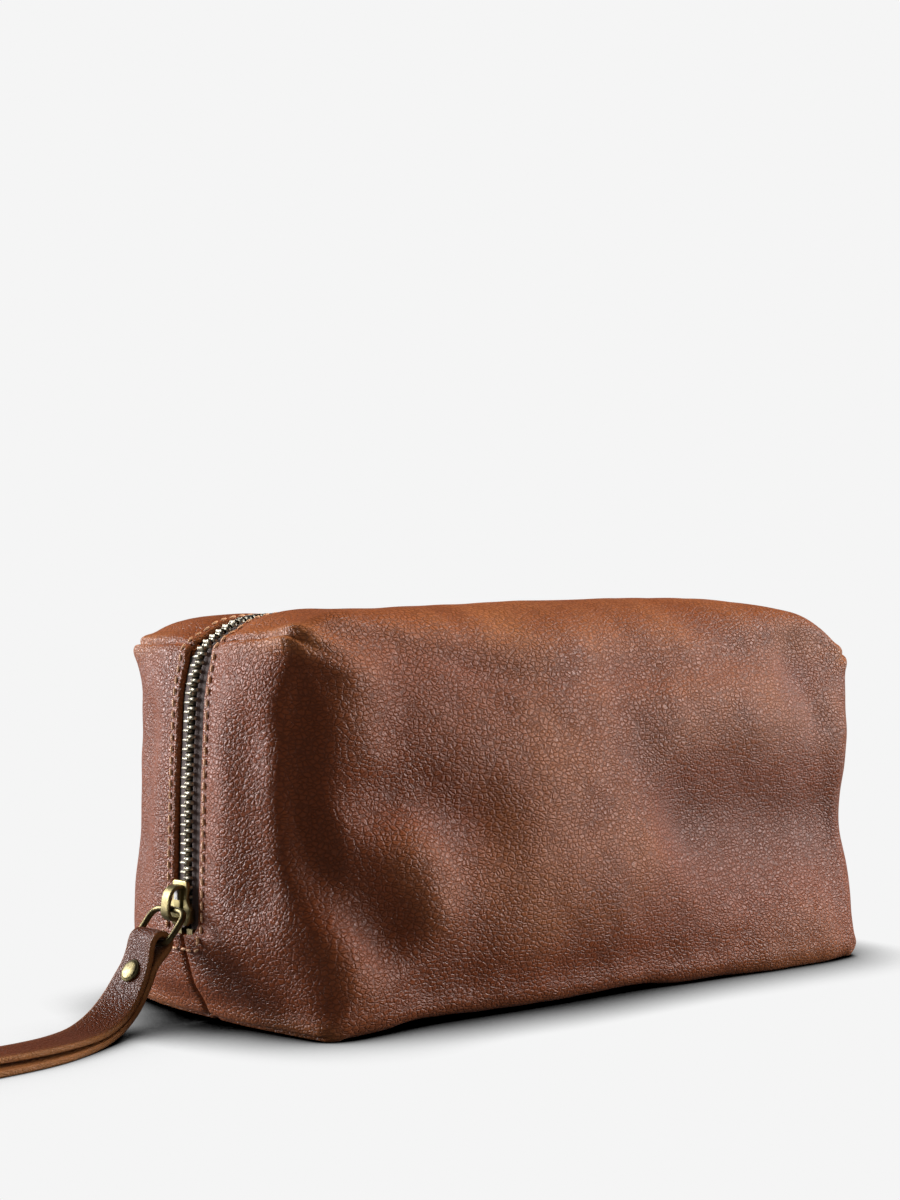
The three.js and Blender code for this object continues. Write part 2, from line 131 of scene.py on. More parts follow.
class ZipSizes(bpy.types.PropertyGroup):
    pitch: FloatProperty(
        name="Tooth pitch", description="Distance between teeth of one row, mm", default=2.65)
    reach: FloatProperty(
        name="Tooth reach", description="Length of one tooth across the zip, mm", default=3.0)
    width: FloatProperty(
        name="Tooth width", description="Size of one tooth along the zip, mm", default=1.25)
    height: FloatProperty(
        name="Tooth height", description="Size of one tooth through the zip, mm", default=2.4)
    around: IntProperty(
        name="Tooth sides", description="Sides of the bar that one tooth is made from",
        default=8, min=4, max=16)


class Finishes(bpy.types.PropertyGroup):
    # Dark tone of the mottling, also used for the painted shade in the fold hollows and the grain's creases.
    leather_dark: FloatVectorProperty(
        name="Leather, dark", description="Colour of the leather in its hollows", subtype="COLOR",
        size=3, default=(0.085, 0.025, 0.011), min=0.0, max=1.0)
    leather_mid: FloatVectorProperty(
        name="Leather", description="Main colour of the leather", subtype="COLOR",
        size=3, default=(0.262, 0.060, 0.0155), min=0.0, max=1.0)
    # Pale colour for worn edges and seams, also used for the painted light along the top of the bag.
    leather_worn_and_lit: FloatVectorProperty(
        name="Leather, worn", description="Colour of the leather on worn edges", subtype="COLOR",
        size=3, default=(0.42, 0.155, 0.052), min=0.0, max=1.0)
    thread: FloatVectorProperty(
        name="Thread", description="Colour of the stitching", subtype="COLOR",
        size=3, default=(0.90, 0.50, 0.27), min=0.0, max=1.0)
    brass: FloatVectorProperty(
        name="Brass", description="Colour of the metal where it is worn bright", subtype="COLOR",
        size=3, default=(0.20, 0.165, 0.075), min=0.0, max=1.0)
    tape: FloatVectorProperty(
        name="Zip tape", description="Colour of the zip's cloth", subtype="COLOR",
        size=3, default=(0.055, 0.030, 0.024), min=0.0, max=1.0)


def sizes():
    return bpy.context.scene.wash_bag_sizes


def joint_place(name):
    """The pivot of a joint in mm."""
    joints = frame["record"]["behaviour"]["joints"]
    return np.array(next(joint for joint in joints if joint["name"] == name)["pos_m"]) / MM


# ---------------------------------------------------------------- small helpers
def smooth(start, end, value):
    share = np.clip((value - start) / (end - start), 0.0, 1.0)
    return share * share * (3.0 - 2.0 * share)


def clustered(count, spots, length):
    """Shares from 0 to 1 that crowd together around the given (place, width, strength) spots."""
    fine = np.linspace(0.0, 1.0, 4001)
    density = np.ones_like(fine)
    for place, width, strength in spots:
        density += strength * np.exp(-(((fine - place) * length / width) ** 2))
    total = np.concatenate([[0.0], np.cumsum((density[1:] + density[:-1]) / 2)])
    return np.interp(np.linspace(0.0, total[-1], count + 1), total, fine)


def ripple(x, y, z, wave, seed):
    """A soft repeatable unevenness between about -1 and 1, with the given wavelength in mm."""
    k = 2 * math.pi / wave
    turn = seed * 1.7
    first = np.sin(k * (x + 0.35 * z) + turn) * np.sin(k * (0.8 * z - 0.3 * y) + 2.1 * turn)
    second = np.sin(k * 0.63 * (x - 0.8 * z + y) + 3.3 * turn) * np.sin(k * 0.71 * (z + 0.5 * x) + turn)
    return (first + second) / 2


def grid_normals(points):
    """Normals of a grid of points that closes on itself along its first axis."""
    along = np.roll(points, -1, axis=0) - np.roll(points, 1, axis=0)
    across = np.gradient(points, axis=1)
    normals = np.cross(along, across)
    length = np.linalg.norm(normals, axis=2, keepdims=True)
    return normals / np.maximum(length, 1e-9)


def mesh_from(name, points, faces):
    """A smooth-shaded object from points in mm."""
    mesh = bpy.data.meshes.new(name)
    mesh.from_pydata([tuple(p) for p in np.asarray(points, float) * MM], [], faces)
    mesh.validate()
    mesh.shade_smooth()
    piece = bpy.data.objects.new(name, mesh)
    bpy.context.scene.collection.objects.link(piece)
    return piece


def set_values(piece, name, values):
    attribute = piece.data.attributes.new(name, "FLOAT", "POINT")
    attribute.data.foreach_set("value", np.asarray(values, np.float32).ravel())


def make_plain(piece):
    """Turns the piece with its modifiers into a plain mesh."""
    graph = bpy.context.evaluated_depsgraph_get()
    graph.update()
    mesh = bpy.data.meshes.new_from_object(piece.evaluated_get(graph), depsgraph=graph)
    piece.modifiers.clear()
    old = piece.data
    piece.data = mesh
    bpy.data.meshes.remove(old)
    mesh.name = piece.name
    return piece


def strip_faces(rows, columns, close_rows=False, close_columns=False):
    """Quads of a grid whose vertex number is row * columns + column."""
    faces = []
    for i in range(rows if close_rows else rows - 1):
        for j in range(columns if close_columns else columns - 1):
            a = i * columns + j
            b = i * columns + (j + 1) % columns
            c = ((i + 1) % rows) * columns + (j + 1) % columns
            d = ((i + 1) % rows) * columns + j
            faces.append((a, b, c, d))
    return faces


def dress(piece, material):
    piece.data.materials.clear()
    piece.data.materials.append(material)


# ---------------------------------------------------------------- the bag's form
TOP_CORNER = 3.5
BASE_CORNER = 6.0
END_STEPS = 118
LONG_STEPS = 150
# Corner radius at the start and the end of each side of the loop.
CORNER_PAIRS = [(BASE_CORNER, TOP_CORNER), (TOP_CORNER, TOP_CORNER), (TOP_CORNER, BASE_CORNER),
                (BASE_CORNER, BASE_CORNER)]
# How far the ends swell at the zip: (height, swell).
END_SWELL = [(0.0, 3.5), (4.0, 6.3), (10.6, 10.8), (25.0, 13.9), (45.0, 12.4), (68.0, 10.6), (91.0, 8.3),
             (96.0, 7.3), (101.0, 5.9), (105.0, 4.4), (112.0, 1.2)]


def half_depth(z):
    """Half the depth of the bag at a height."""
    bag = sizes()
    share = np.clip(z / bag.ear_height, 0.0, 1.0)
    return BASE_HALF_DEPTH + (bag.top_half_depth - BASE_HALF_DEPTH) * share


def smooth_table(rows, blur):
    """A soft curve through (place, value) rows, sampled finely."""
    places, values = np.array(rows).T
    fine = np.linspace(places[0], places[-1], 400)
    raw = np.interp(fine, places, values)
    gaps = (fine[:, None] - fine[None, :]) / blur
    weights = np.exp(-gaps ** 2)
    return fine, (weights @ raw) / weights.sum(axis=1)


END_CURVE = smooth_table(END_SWELL, 2.5)


def end_reach(y, z):
    """How far the end stands from the middle of the bag at a depth and a height."""
    bag = sizes()
    share = np.clip(z / bag.ear_height, 0.0, 1.0)
    flat = bag.base_half_length + (bag.ear_half_length - bag.base_half_length) * share
    swell = np.interp(z, *END_CURVE)
    return flat + swell * np.clip(1.0 - (y / half_depth(z)) ** 2, 0.0, 1.0)


def top_height(x, y):
    """Height of the top, which domes up from the corner seams and is taller away from the slider."""
    bag = sizes()
    reach = end_reach(y, bag.ear_height)
    near = np.clip(reach + x - TOP_CORNER, 0.0, None)
    far = np.clip(reach - x - TOP_CORNER, 0.0, None)
    ridge = 9.0 + 10.0 * smooth(-105.0, 75.0, x)
    dome = ridge * (1.0 - np.exp(-near / 7.0)) * (1.0 - np.exp(-far / 11.0))
    return bag.ear_height + dome * (1.0 - 0.22 * (y / bag.top_half_depth) ** 2)


class Loop:
    """The walk round a panel in the XZ plane: up the near end, over the top, down the far end, back below."""

    def __init__(self):
        bag = sizes()
        window = bag.window_height / bag.ear_height
        spots = [(0.0, 3.0, 3.0), (1.0, 3.0, 3.0), (window, 4.0, 3.5)]
        up = clustered(END_STEPS, spots, bag.ear_height)[:-1]
        over = clustered(LONG_STEPS, [(0.0, 4.0, 4.0), (1.0, 4.0, 4.0)], 2 * bag.ear_half_length)[:-1]
        self.share = np.concatenate([up, over, up, over])
        self.side = np.repeat([0, 1, 2, 3], [len(up), len(over), len(up), len(over)])
        self.count = len(self.share)
        stops = np.cumsum([len(up), len(over), len(up), len(over)])
        self.corners = [0, *stops[:-1]]
        self.spans = list(zip(self.corners, stops))

    def place(self, y, inset, corner_inset):
        """Positions (x, z) at a depth, moved inwards by inset and by a share of the radius at the corners."""
        bag = sizes()
        x = np.zeros(self.count)
        z = np.zeros(self.count)
        for side, (start, stop) in enumerate(self.spans):
            part = slice(start, stop)
            t = self.share[part]
            d = inset[part]
            start_radius, end_radius = CORNER_PAIRS[side]
            shift = corner_inset * (start_radius * (1 - t) ** 8 - end_radius * t ** 8)
            if side in (0, 2):
                height = t if side == 0 else 1 - t
                turn = 1 if side == 0 else -1
                z[part] = bag.ear_height * height + turn * shift
                reach = end_reach(y[part], z[part]) - d
                x[part] = -reach if side == 0 else reach
            else:
                level = np.full_like(t, bag.ear_height if side == 1 else 0.0)
                reach = end_reach(y[part], level)
                run = -1 + 2 * t if side == 1 else 1 - 2 * t
                turn = 1 if side == 1 else -1
                x[part] = reach * run + turn * shift
                z[part] = top_height(x[part], y[part]) - d if side == 1 else d
        return x, z

    def corner_distance(self, x, z):
        """Distance along the loop from each point to the nearest corner seam."""
        step = np.hypot(np.diff(x, append=x[0]), np.diff(z, append=z[0]))
        walked = np.concatenate([[0.0], np.cumsum(step)[:-1]])
        total = step.sum()
        gaps = [np.abs(walked - walked[c]) for c in self.corners]
        return np.min([np.minimum(gap, total - gap) for gap in gaps], axis=0)

    def soften(self, points, far, rounds=40):
        """Rounds the loop a little near its corners."""
        weight = np.exp(-(far / 5.0) ** 2)[:, None] * 0.5
        for _ in range(rounds):
            middle = (np.roll(points, 1, axis=0) + np.roll(points, -1, axis=0)) / 2
            points = points + (middle - points) * weight
        return points


CLOSED_SEAM = 0.25
WINDOW_RADIUS = 4.5


def rim_opening(loop, z):
    """Half the gap between the two panels along the loop: the zip window, or the closed seam."""
    bag = sizes()
    radius = WINDOW_RADIUS
    above = np.clip(bag.window_height + radius - z, 0.0, radius)
    round_end = SLOT_HALF - radius + np.sqrt(np.maximum(radius ** 2 - above ** 2, 0.0))
    opening = np.where(z > bag.window_height, round_end, CLOSED_SEAM)
    return np.where(loop.side == 3, CLOSED_SEAM, opening)


# Each ring near the rim: distance from the rim and depth below the surface, at the zip and at the seam.
# The first two lie on the turned-in edge behind the zip.
RIM_RINGS = [
    ((9.0, 2.2), (2.2, 2.9)), ((2.0, 2.2), (0.7, 2.8)), ((0.55, 2.05), (0.35, 2.5)), ((0.1, 1.6), (0.2, 2.0)),
    ((0.0, 1.1), (0.15, 1.5)), ((0.12, 0.55), (0.3, 0.95)), ((0.6, 0.12), (0.75, 0.5)),
    ((1.3, 0.0), (1.4, 0.2)), ((2.3, 0.2), (2.3, 0.05)), ((3.3, 0.0), (3.3, 0.0)),
]
RIM_TOP = 7
GUSSET_RINGS = 15
ROUND_RINGS = 11
WALL_RINGS = 34
ZIP_DIP = 1.3          # the leather beside the zip lies this much lower
WALL_SWELL = 3.0
LINING_START = 9       # the lining begins at this ring


def edge_radius(loop, x, z, side):
    """Radius with which the gusset turns into the wall, small at the pinched corners."""
    bag = sizes()
    full = np.where((x > 0) | (side > 0), 8.5, 13.0)
    ends = full - (full - TOP_CORNER) * smooth(80.0, bag.ear_height - 4, z)
    ends -= (full - BASE_CORNER) * (1 - smooth(2.0, 26.0, z))
    top = TOP_CORNER + 16.0 * smooth(0.0, 95.0, bag.ear_half_length - np.abs(x))
    return np.choose(loop.side, [ends, top, ends, BASE_CORNER])


def panel_grid(side, depth_shift=0.0):
    """The outer surface of one panel as a grid [round the loop, rim to middle of the wall].

    depth_shift moves the whole surface inwards, for the lining.
    """
    bag = sizes()
    loop = Loop()
    zero = np.zeros(loop.count)
    x0, z0 = loop.place(zero, zero, 0.0)
    radius = edge_radius(loop, x0, z0, side)
    opening = rim_opening(loop, z0)
    at_zip = np.where(opening > 1.0, 1.0, 0.0)
    x_in, z_in = loop.place(half_depth(z0), radius, 1.0)
    wall_depth = half_depth(np.minimum(z_in, bag.ear_height))

    gusset_end = wall_depth - radius
    rings, depths, from_rim = [], [], []

    def add(y, inset, corner_inset, depth, distance):
        dip = ZIP_DIP * at_zip * np.exp(-((np.maximum(distance - 2.0, 0.0) / 5.5) ** 2))
        x, z = loop.place(y, inset, corner_inset)
        points = np.stack([x, y, z], axis=1)
        far = loop.corner_distance(x, z)
        points[:, [0, 2]] = loop.soften(points[:, [0, 2]], far)
        rings.append(points)
        depths.append(depth + dip)
        from_rim.append(distance)

    for at_rim, at_seam in RIM_RINGS:
        distance = at_zip * at_rim[0] + (1 - at_zip) * at_seam[0]
        depth = at_zip * at_rim[1] + (1 - at_zip) * at_seam[1]
        add(opening + distance, zero, 0.0, depth, distance)
    first = opening + RIM_RINGS[-1][0][0]
    for i in range(1, GUSSET_RINGS + 1):
        share = (i / GUSSET_RINGS) ** 1.15
        y = first + (gusset_end - first) * share
        add(y, zero, 0.0, zero, y - opening)
    for i in range(1, ROUND_RINGS + 1):
        angle = math.pi / 2 * i / ROUND_RINGS
        y = gusset_end + radius * math.sin(angle)
        inset = radius * (1 - math.cos(angle))
        add(y, inset, 1 - math.cos(angle), zero, y - opening + inset)
    edge = rings[-1].copy()
    edge_ring = len(rings) - 1
    for i in range(1, WALL_RINGS + 1):
        share = i / WALL_RINGS
        points = BAG_MIDDLE + (edge - BAG_MIDDLE) * (1 - share)
        x, z = points[:, 0], points[:, 2]
        swell = WALL_SWELL * smooth(0.0, 0.25, share) * np.clip(1 - (x / bag.base_half_length) ** 2, 0, 1)
        swell *= np.clip(1 - ((z - 55) / 62) ** 2, 0, 1)
        points[:, 1] = half_depth(np.minimum(z, bag.ear_height)) + swell
        rings.append(points)
        depths.append(zero)
        from_rim.append(from_rim[edge_ring] + np.hypot(x - edge[:, 0], z - edge[:, 2]))

    grid = np.stack(rings, axis=1)
    depths = np.stack(depths, axis=1)
    from_rim = np.stack(from_rim, axis=1)
    normals = grid_normals(grid)
    if np.sum(normals[:, RIM_TOP + 6] * (grid[:, RIM_TOP + 6] - BAG_MIDDLE)) < 0:
        normals = -normals
    # The wall is nearly flat, so its normals run straight out.
    blend = smooth(0.0, 4.0, np.arange(len(rings) - edge_ring))[None, :, None]
    straight = np.array([0.0, 1.0, 0.0])
    normals[:, edge_ring:] = normals[:, edge_ring:] * (1 - blend) + straight * blend
    # The rim rings all hang from the surface just beyond them.
    normals[:, :len(RIM_RINGS)] = normals[:, len(RIM_RINGS) + 1:len(RIM_RINGS) + 2]
    grid = grid - normals * (depths + depth_shift)[:, :, None]
    grid[:, :, 1] *= side
    normals[:, :, 1] *= side
    return loop, grid, normals, from_rim


# ---------------------------------------------------------------- dents and folds
# Each soft fold runs from one point to another, with a width and a height (below zero for a hollow), in mm.
FRONT_FOLDS = [
    ((-38, -48, 46), (-34, -46, 80), 34.0, 6.5),
    ((-121, -41, 96), (-123, -43, 60), 7.0, -3.0),
    ((-126, -44, 62), (-121, -47, 47), 9.0, -2.6),
    ((-121, -47, 48), (-98, -49, 28), 9.0, -4.6),
    ((-107, -46, 66), (-64, -46, 56), 11.0, -2.5),
    ((-107, -44, 95), (-103, -44, 76), 9.0, 3.0),
    ((-89, -48, 47), (-84, -49, 32), 11.0, 4.4),
    ((-113, -43, 103), (-100, -43, 98), 8.0, 1.5),
    ((24, -46, 86), (108, -44, 84), 17.0, 4.0),
    ((30, -46, 50), (106, -45, 47), 16.0, -5.5),
    ((90, -43, 104), (100, -44, 84), 8.0, -2.0),
    ((-8, -47, 40), (20, -47, 38), 18.0, 2.0),
    ((-80, -50, 6), (5, -50, 6), 15.0, -2.5),
    ((70, -50, 8), (95, -50, 8), 16.0, 2.5),
    ((-118, -50, 26), (-106, -50, 14), 8.0, 2.0),
    ((-60, -42, 98), (-30, -44, 84), 12.0, -2.0),
    ((40, -43, 100), (60, -43, 92), 14.0, 1.5),
]
BACK_FOLDS = [
    ((-118, 44, 92), (-112, 46, 48), 11.0, -4.0),
    ((-70, 46, 74), (-20, 47, 56), 14.0, -3.5),
    ((10, 46, 84), (60, 47, 66), 15.0, 2.5),
    ((62, 46, 52), (96, 46, 40), 12.0, -3.5),
    ((-40, 50, 4), (60, 50, 4), 16.0, -4.0),
    ((-90, 48, 30), (-60, 49, 24), 12.0, 2.5),
    ((96, 43, 100), (104, 44, 78), 9.0, -2.5),
]
END_FOLDS = [
    ((-129, -26, 78), (-128, -30, 40), 9.0, -2.0),
    ((-130, 24, 84), (-129, 30, 50), 9.0, -2.2),
    ((-128, -20, 14), (-124, -36, 10), 8.0, -0.8),
    ((129, -24, 86), (127, -30, 44), 10.0, -2.5),
    ((129, 24, 70), (128, 28, 34), 10.0, -2.5),
]


def fold_height(points, folds):
    """How far the folds raise each point."""
    total = np.zeros(points.shape[:-1])
    for start, end, width, height in folds:
        a = np.array(start, float)
        run = np.array(end, float) - a
        share = np.clip(((points - a) @ run) / (run @ run), 0.0, 1.0)
        away = np.linalg.norm(points - (a + share[..., None] * run), axis=-1)
        total += height * np.exp(-((away / width) ** 2))
    return total


def dress_surface(loop, grid, normals, from_rim, folds, seed):
    """Pushes the surface out and in along its normals: soft folds, seam lines and unevenness."""
    x, y, z = grid[..., 0], grid[..., 1], grid[..., 2]
    away = smooth(2.0, 16.0, from_rim)
    height = fold_height(grid, folds)
    for wave, size, turn in ((46.0, 0.55, seed), (17.0, 0.22, seed + 3)):
        height += size * ripple(x, y, z, wave, turn)
    height *= away
    gusset = RIM_TOP + 8
    far = loop.corner_distance(grid[:, gusset, 0], grid[:, gusset, 2])[:, None]
    past_edge = from_rim - (half_depth(np.minimum(z, sizes().ear_height)) - 2.0)
    gusset_share = 1.0 - smooth(0.0, 12.0, past_edge)
    seam = np.exp(-((far / 0.9) ** 2)) * gusset_share * (1.0 - smooth(-5.0, 1.0, past_edge))
    puff = np.exp(-(((far - 3.2) / 2.4) ** 2)) * gusset_share
    # The pinched end of each corner seam stands out as a small ear, the near front one most of all.
    ear = smooth(26.0, 40.0, np.abs(y)) * np.exp(-((far / 7.0) ** 2)) * smooth(40.0, 100.0, z) * gusset_share
    height += 0.6 * puff - 1.7 * seam + np.where((x < 0) & (y < 0), 2.0, 0.8) * ear
    return grid + normals * height[..., None], far + 30.0 * (1.0 - gusset_share), height


def wear_light_and_shade_values(far, from_rim, height, z):
    """How pale the leather is at each point (wear at the corner seams, the rim and the base, raised folds,
    and painted light along the top), and how much painted shade darkens its fold hollows.
    """
    worn = 0.55 * np.exp(-((far / 4.0) ** 2)) * smooth(6.0, 30.0, from_rim)
    worn += 0.35 * np.exp(-((from_rim / 1.6) ** 2))
    # Paler along the base edge from wear, and along the top from painted light on the top's rounding.
    worn += 0.3 * np.exp(-((z / 5.0) ** 2)) + 0.4 * smooth(98.0, 114.0, z)
    worn += 0.10 * np.clip(height, 0, 4)
    # Painted shade: the deeper the fold hollows, the darker the leather there.
    hollow = np.clip(-height / 4.0, 0.0, 1.0)
    return np.clip(worn, 0, 1), hollow


def closed_panel(name, grid, side, turn_faces=False):
    """A sheet from a panel grid whose last ring is drawn together into one point."""
    rows, columns = grid.shape[0], grid.shape[1] - 1
    points = np.concatenate([grid[:, :-1].reshape(-1, 3), grid[:, -1].mean(axis=0)[None]])
    faces = strip_faces(rows, columns, close_rows=True)
    inner = [i * columns + columns - 1 for i in range(rows)]
    faces += [(inner[i], rows * columns, inner[(i + 1) % rows]) for i in range(rows)]
    if turn_faces:
        faces = [face[::-1] for face in faces]
    piece = mesh_from(name, points, faces)
    face_away(piece, (0.0, side * 20.0, INSIDE_HEIGHT))
    return piece


def leather_panel(name, side, folds, seed):
    loop, grid, normals, from_rim = panel_grid(side)
    dressed, far, height = dress_surface(loop, grid, normals, from_rim, folds, seed)
    dressed[..., 2] = np.maximum(dressed[..., 2], 0.0)
    piece = closed_panel(name, dressed, side, turn_faces=side > 0)
    # Stores the wear share, which also carries painted light along the top, and the painted shade of the fold
    # hollows.
    worn, hollow = wear_light_and_shade_values(far[:, :-1], from_rim[:, :-1], height[:, :-1], dressed[:, :-1, 2])
    set_values(piece, "worn", np.append(worn, 0.0))
    set_values(piece, "hollow", np.append(hollow, 0.0))
    return piece


def face_away(piece, inside):
    """Turns the faces round if they point towards a point inside the bag."""
    mesh = piece.data
    total = 0.0
    for polygon in mesh.polygons:
        total += polygon.normal.dot(polygon.center - Vector(inside) * MM) * polygon.area
    if total < 0:
        mesh.flip_normals()


def thicken(piece, thickness):
    """Gives a sheet its thickness, inwards from its surface."""
    solid = piece.modifiers.new("Thickness", "SOLIDIFY")
    solid.thickness = thickness * MM
    solid.offset = -1.0
    solid.use_even_offset = False
    return make_plain(piece)


def bend_with(piece):
    """Bakes the piece's placing into its mesh."""
    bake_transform(piece)


# ---------------------------------------------------------------- paths along the zip
def zip_path(inset, lowest, step=1.0):
    """Points on the middle plane from the near end's given height over the top to the far end's."""
    bag = sizes()
    loop = Loop()
    zero = np.zeros(loop.count)
    x, z = loop.place(zero, zero, 0.0)
    points = np.stack([x, z], axis=1)
    points = loop.soften(points, loop.corner_distance(x, z), rounds=110)
    tangent = np.roll(points, -1, axis=0) - np.roll(points, 1, axis=0)
    tangent /= np.linalg.norm(tangent, axis=1, keepdims=True)
    normal = np.stack([-tangent[:, 1], tangent[:, 0]], axis=1)
    if np.sum(normal * (points - points.mean(axis=0))) < 0:
        normal = -normal
    points = (points - normal * inset)[loop.side != 3]
    walked = np.concatenate([[0.0], np.cumsum(np.hypot(*np.diff(points, axis=0).T))])
    half = len(points) // 2
    start = np.interp(lowest, points[:half, 1], walked[:half])
    stop = np.interp(-lowest, -points[half:, 1], walked[half:])
    stations = np.linspace(start, stop, int((stop - start) / step) + 1)
    return np.stack([np.interp(stations, walked, points[:, k]) for k in (0, 1)], axis=1)


def straight_end(path, face):
    """The path kept upright on the near end, where the slider runs along it."""
    path = path.copy()
    path[:, 0] = np.maximum(path[:, 0], face)
    return path


def path_normals(path):
    """The outward direction at each point of a path over the bag."""
    tangent = np.gradient(path, axis=0)
    tangent /= np.linalg.norm(tangent, axis=1, keepdims=True)
    return np.stack([-tangent[:, 1], tangent[:, 0]], axis=1)


# ---------------------------------------------------------------- node helpers
def group_tree(name, kind, inputs, outputs):
    """A node group from (name, socket type, default) inputs and (name, socket type) outputs."""
    tree = bpy.data.node_groups.new(name, kind)
    for socket_name, socket_type, default in inputs:
        socket = tree.interface.new_socket(socket_name, in_out="INPUT", socket_type=socket_type)
        if default is not None:
            socket.default_value = default
    for socket_name, socket_type in outputs:
        tree.interface.new_socket(socket_name, in_out="OUTPUT", socket_type=socket_type)
    tree.nodes.new("NodeGroupInput")
    tree.nodes.new("NodeGroupOutput")
    return tree


def node(tree, kind, values=None, links=None, **settings):
    """Adds a node, sets its settings and values, and links its inputs to the given output sockets."""
    made = tree.nodes.new(kind)
    for key, value in settings.items():
        setattr(made, key, value)
    for key, value in (values or {}).items():
        made.inputs[key].default_value = value
    for key, socket in (links or {}).items():
        tree.links.new(socket, made.inputs[key])
    return made


def maths(tree, operation, first, second=None):
    made = tree.nodes.new("ShaderNodeMath")
    made.operation = operation
    for index, value in enumerate((first, second)):
        if value is None:
            continue
        if isinstance(value, (int, float)):
            made.inputs[index].default_value = value
        else:
            tree.links.new(value, made.inputs[index])
    return made.outputs[0]


def mix_colour(tree, factor, first, second):
    made = tree.nodes.new("ShaderNodeMix")
    made.data_type = "RGBA"
    for key, value in ((0, factor), (6, first), (7, second)):
        if isinstance(value, (int, float)):
            made.inputs[key].default_value = value
        elif isinstance(value, (tuple, list)):
            made.inputs[key].default_value = tuple(value) + (1.0,) * (4 - len(value))
        else:
            tree.links.new(value, made.inputs[key])
    return made.outputs[2]


def spread(tree, value, from_low, from_high, to_low=0.0, to_high=1.0):
    """Maps one range of values onto another and holds them inside it."""
    made = node(tree, "ShaderNodeMapRange", {1: from_low, 2: from_high, 3: to_low, 4: to_high}, {0: value})
    return made.outputs[0]


# ---------------------------------------------------------------- repeated pieces by geometry nodes
def along_path_tree(name, make_piece, inputs):
    """A tree that sets a small piece along a path: its X follows the path and its Y the bag's Y."""
    sockets = [("Geometry", "NodeSocketGeometry", None), ("Pitch", "NodeSocketFloat", 0.003),
               ("Slant", "NodeSocketFloat", 0.0), ("Material", "NodeSocketMaterial", None)]
    tree = group_tree(name, "GeometryNodeTree", sockets + inputs, [("Geometry", "NodeSocketGeometry")])
    source = tree.nodes["Group Input"].outputs
    curve = node(tree, "GeometryNodeMeshToCurve", links={0: source["Geometry"]})
    points = node(tree, "GeometryNodeCurveToPoints",
                  links={"Curve": curve.outputs[0], "Length": source["Pitch"]}, mode="LENGTH")
    slanted = node(tree, "FunctionNodeAxisAngleToRotation", {"Axis": (0.0, 0.0, 1.0)},
                   {"Angle": source["Slant"]})
    forward = node(tree, "FunctionNodeAlignRotationToVector",
                   links={"Vector": points.outputs["Tangent"]}, axis="X")
    level = node(tree, "FunctionNodeAlignRotationToVector", {"Vector": (0.0, 1.0, 0.0)},
                 {"Rotation": forward.outputs[0]}, axis="Y", pivot_axis="X")
    turned = node(tree, "FunctionNodeRotateRotation", links={0: level.outputs[0], 1: slanted.outputs[0]},
                  rotation_space="LOCAL")
    placed = node(tree, "GeometryNodeInstanceOnPoints",
                  links={"Points": points.outputs["Points"], "Instance": make_piece(tree, source),
                         "Rotation": turned.outputs[0]})
    real = node(tree, "GeometryNodeRealizeInstances", links={0: placed.outputs[0]})
    shaded = node(tree, "GeometryNodeSetShadeSmooth", links={0: real.outputs[0]})
    finished = node(tree, "GeometryNodeSetMaterial",
                    links={"Geometry": shaded.outputs[0], "Material": source["Material"]})
    tree.links.new(finished.outputs[0], tree.nodes["Group Output"].inputs[0])
    return tree


def tooth_shape(tree, source):
    """One zip tooth: an oval bar gripping the tape, with a rounded head towards the middle of the zip."""
    bar = node(tree, "GeometryNodeMeshCylinder",
               {"Side Segments": 1, "Fill Segments": 1, "Radius": 0.5, "Depth": 1.0},
               {"Vertices": source["Sides"]})
    # Turned, the bar's length lies along Y, so its size is given as width, reach, height.
    bar_turned = node(tree, "GeometryNodeTransform", {"Rotation": (math.pi / 2, 0.0, 0.0)},
                      {"Geometry": bar.outputs["Mesh"]})
    size = node(tree, "ShaderNodeCombineXYZ",
                links={0: source["Width"], 1: source["Reach"], 2: source["Height"]})
    bar_sized = node(tree, "GeometryNodeTransform",
                     links={"Geometry": bar_turned.outputs[0], "Scale": size.outputs[0]})
    head = node(tree, "GeometryNodeMeshUVSphere", {"Segments": 10, "Rings": 6, "Radius": 0.5})
    head_size = node(tree, "ShaderNodeCombineXYZ",
                     links={0: maths(tree, "MULTIPLY", source["Width"], 1.18),
                            1: maths(tree, "MULTIPLY", source["Reach"], 0.5),
                            2: maths(tree, "MULTIPLY", source["Height"], 1.12)})
    shift = maths(tree, "MULTIPLY", source["Reach"], maths(tree, "MULTIPLY", source["Side"], -0.36))
    head_place = node(tree, "ShaderNodeCombineXYZ", links={1: shift})
    head_placed = node(tree, "GeometryNodeTransform",
                       links={"Geometry": head.outputs["Mesh"], "Translation": head_place.outputs[0],
                              "Scale": head_size.outputs[0]})
    joined = tree.nodes.new("GeometryNodeJoinGeometry")
    tree.links.new(bar_sized.outputs[0], joined.inputs[0])
    tree.links.new(head_placed.outputs[0], joined.inputs[0])
    return joined.outputs[0]


def stitch_shape(tree, source):
    """One stitch: a short rounded length of thread."""
    bead = node(tree, "GeometryNodeMeshUVSphere", {"Segments": 8, "Rings": 8, "Radius": 0.5})
    size = node(tree, "ShaderNodeCombineXYZ",
                links={0: source["Length"], 1: source["Thread"], 2: source["Thread"]})
    sized = node(tree, "GeometryNodeTransform",
                 links={"Geometry": bead.outputs["Mesh"], "Scale": size.outputs[0]})
    return sized.outputs[0]


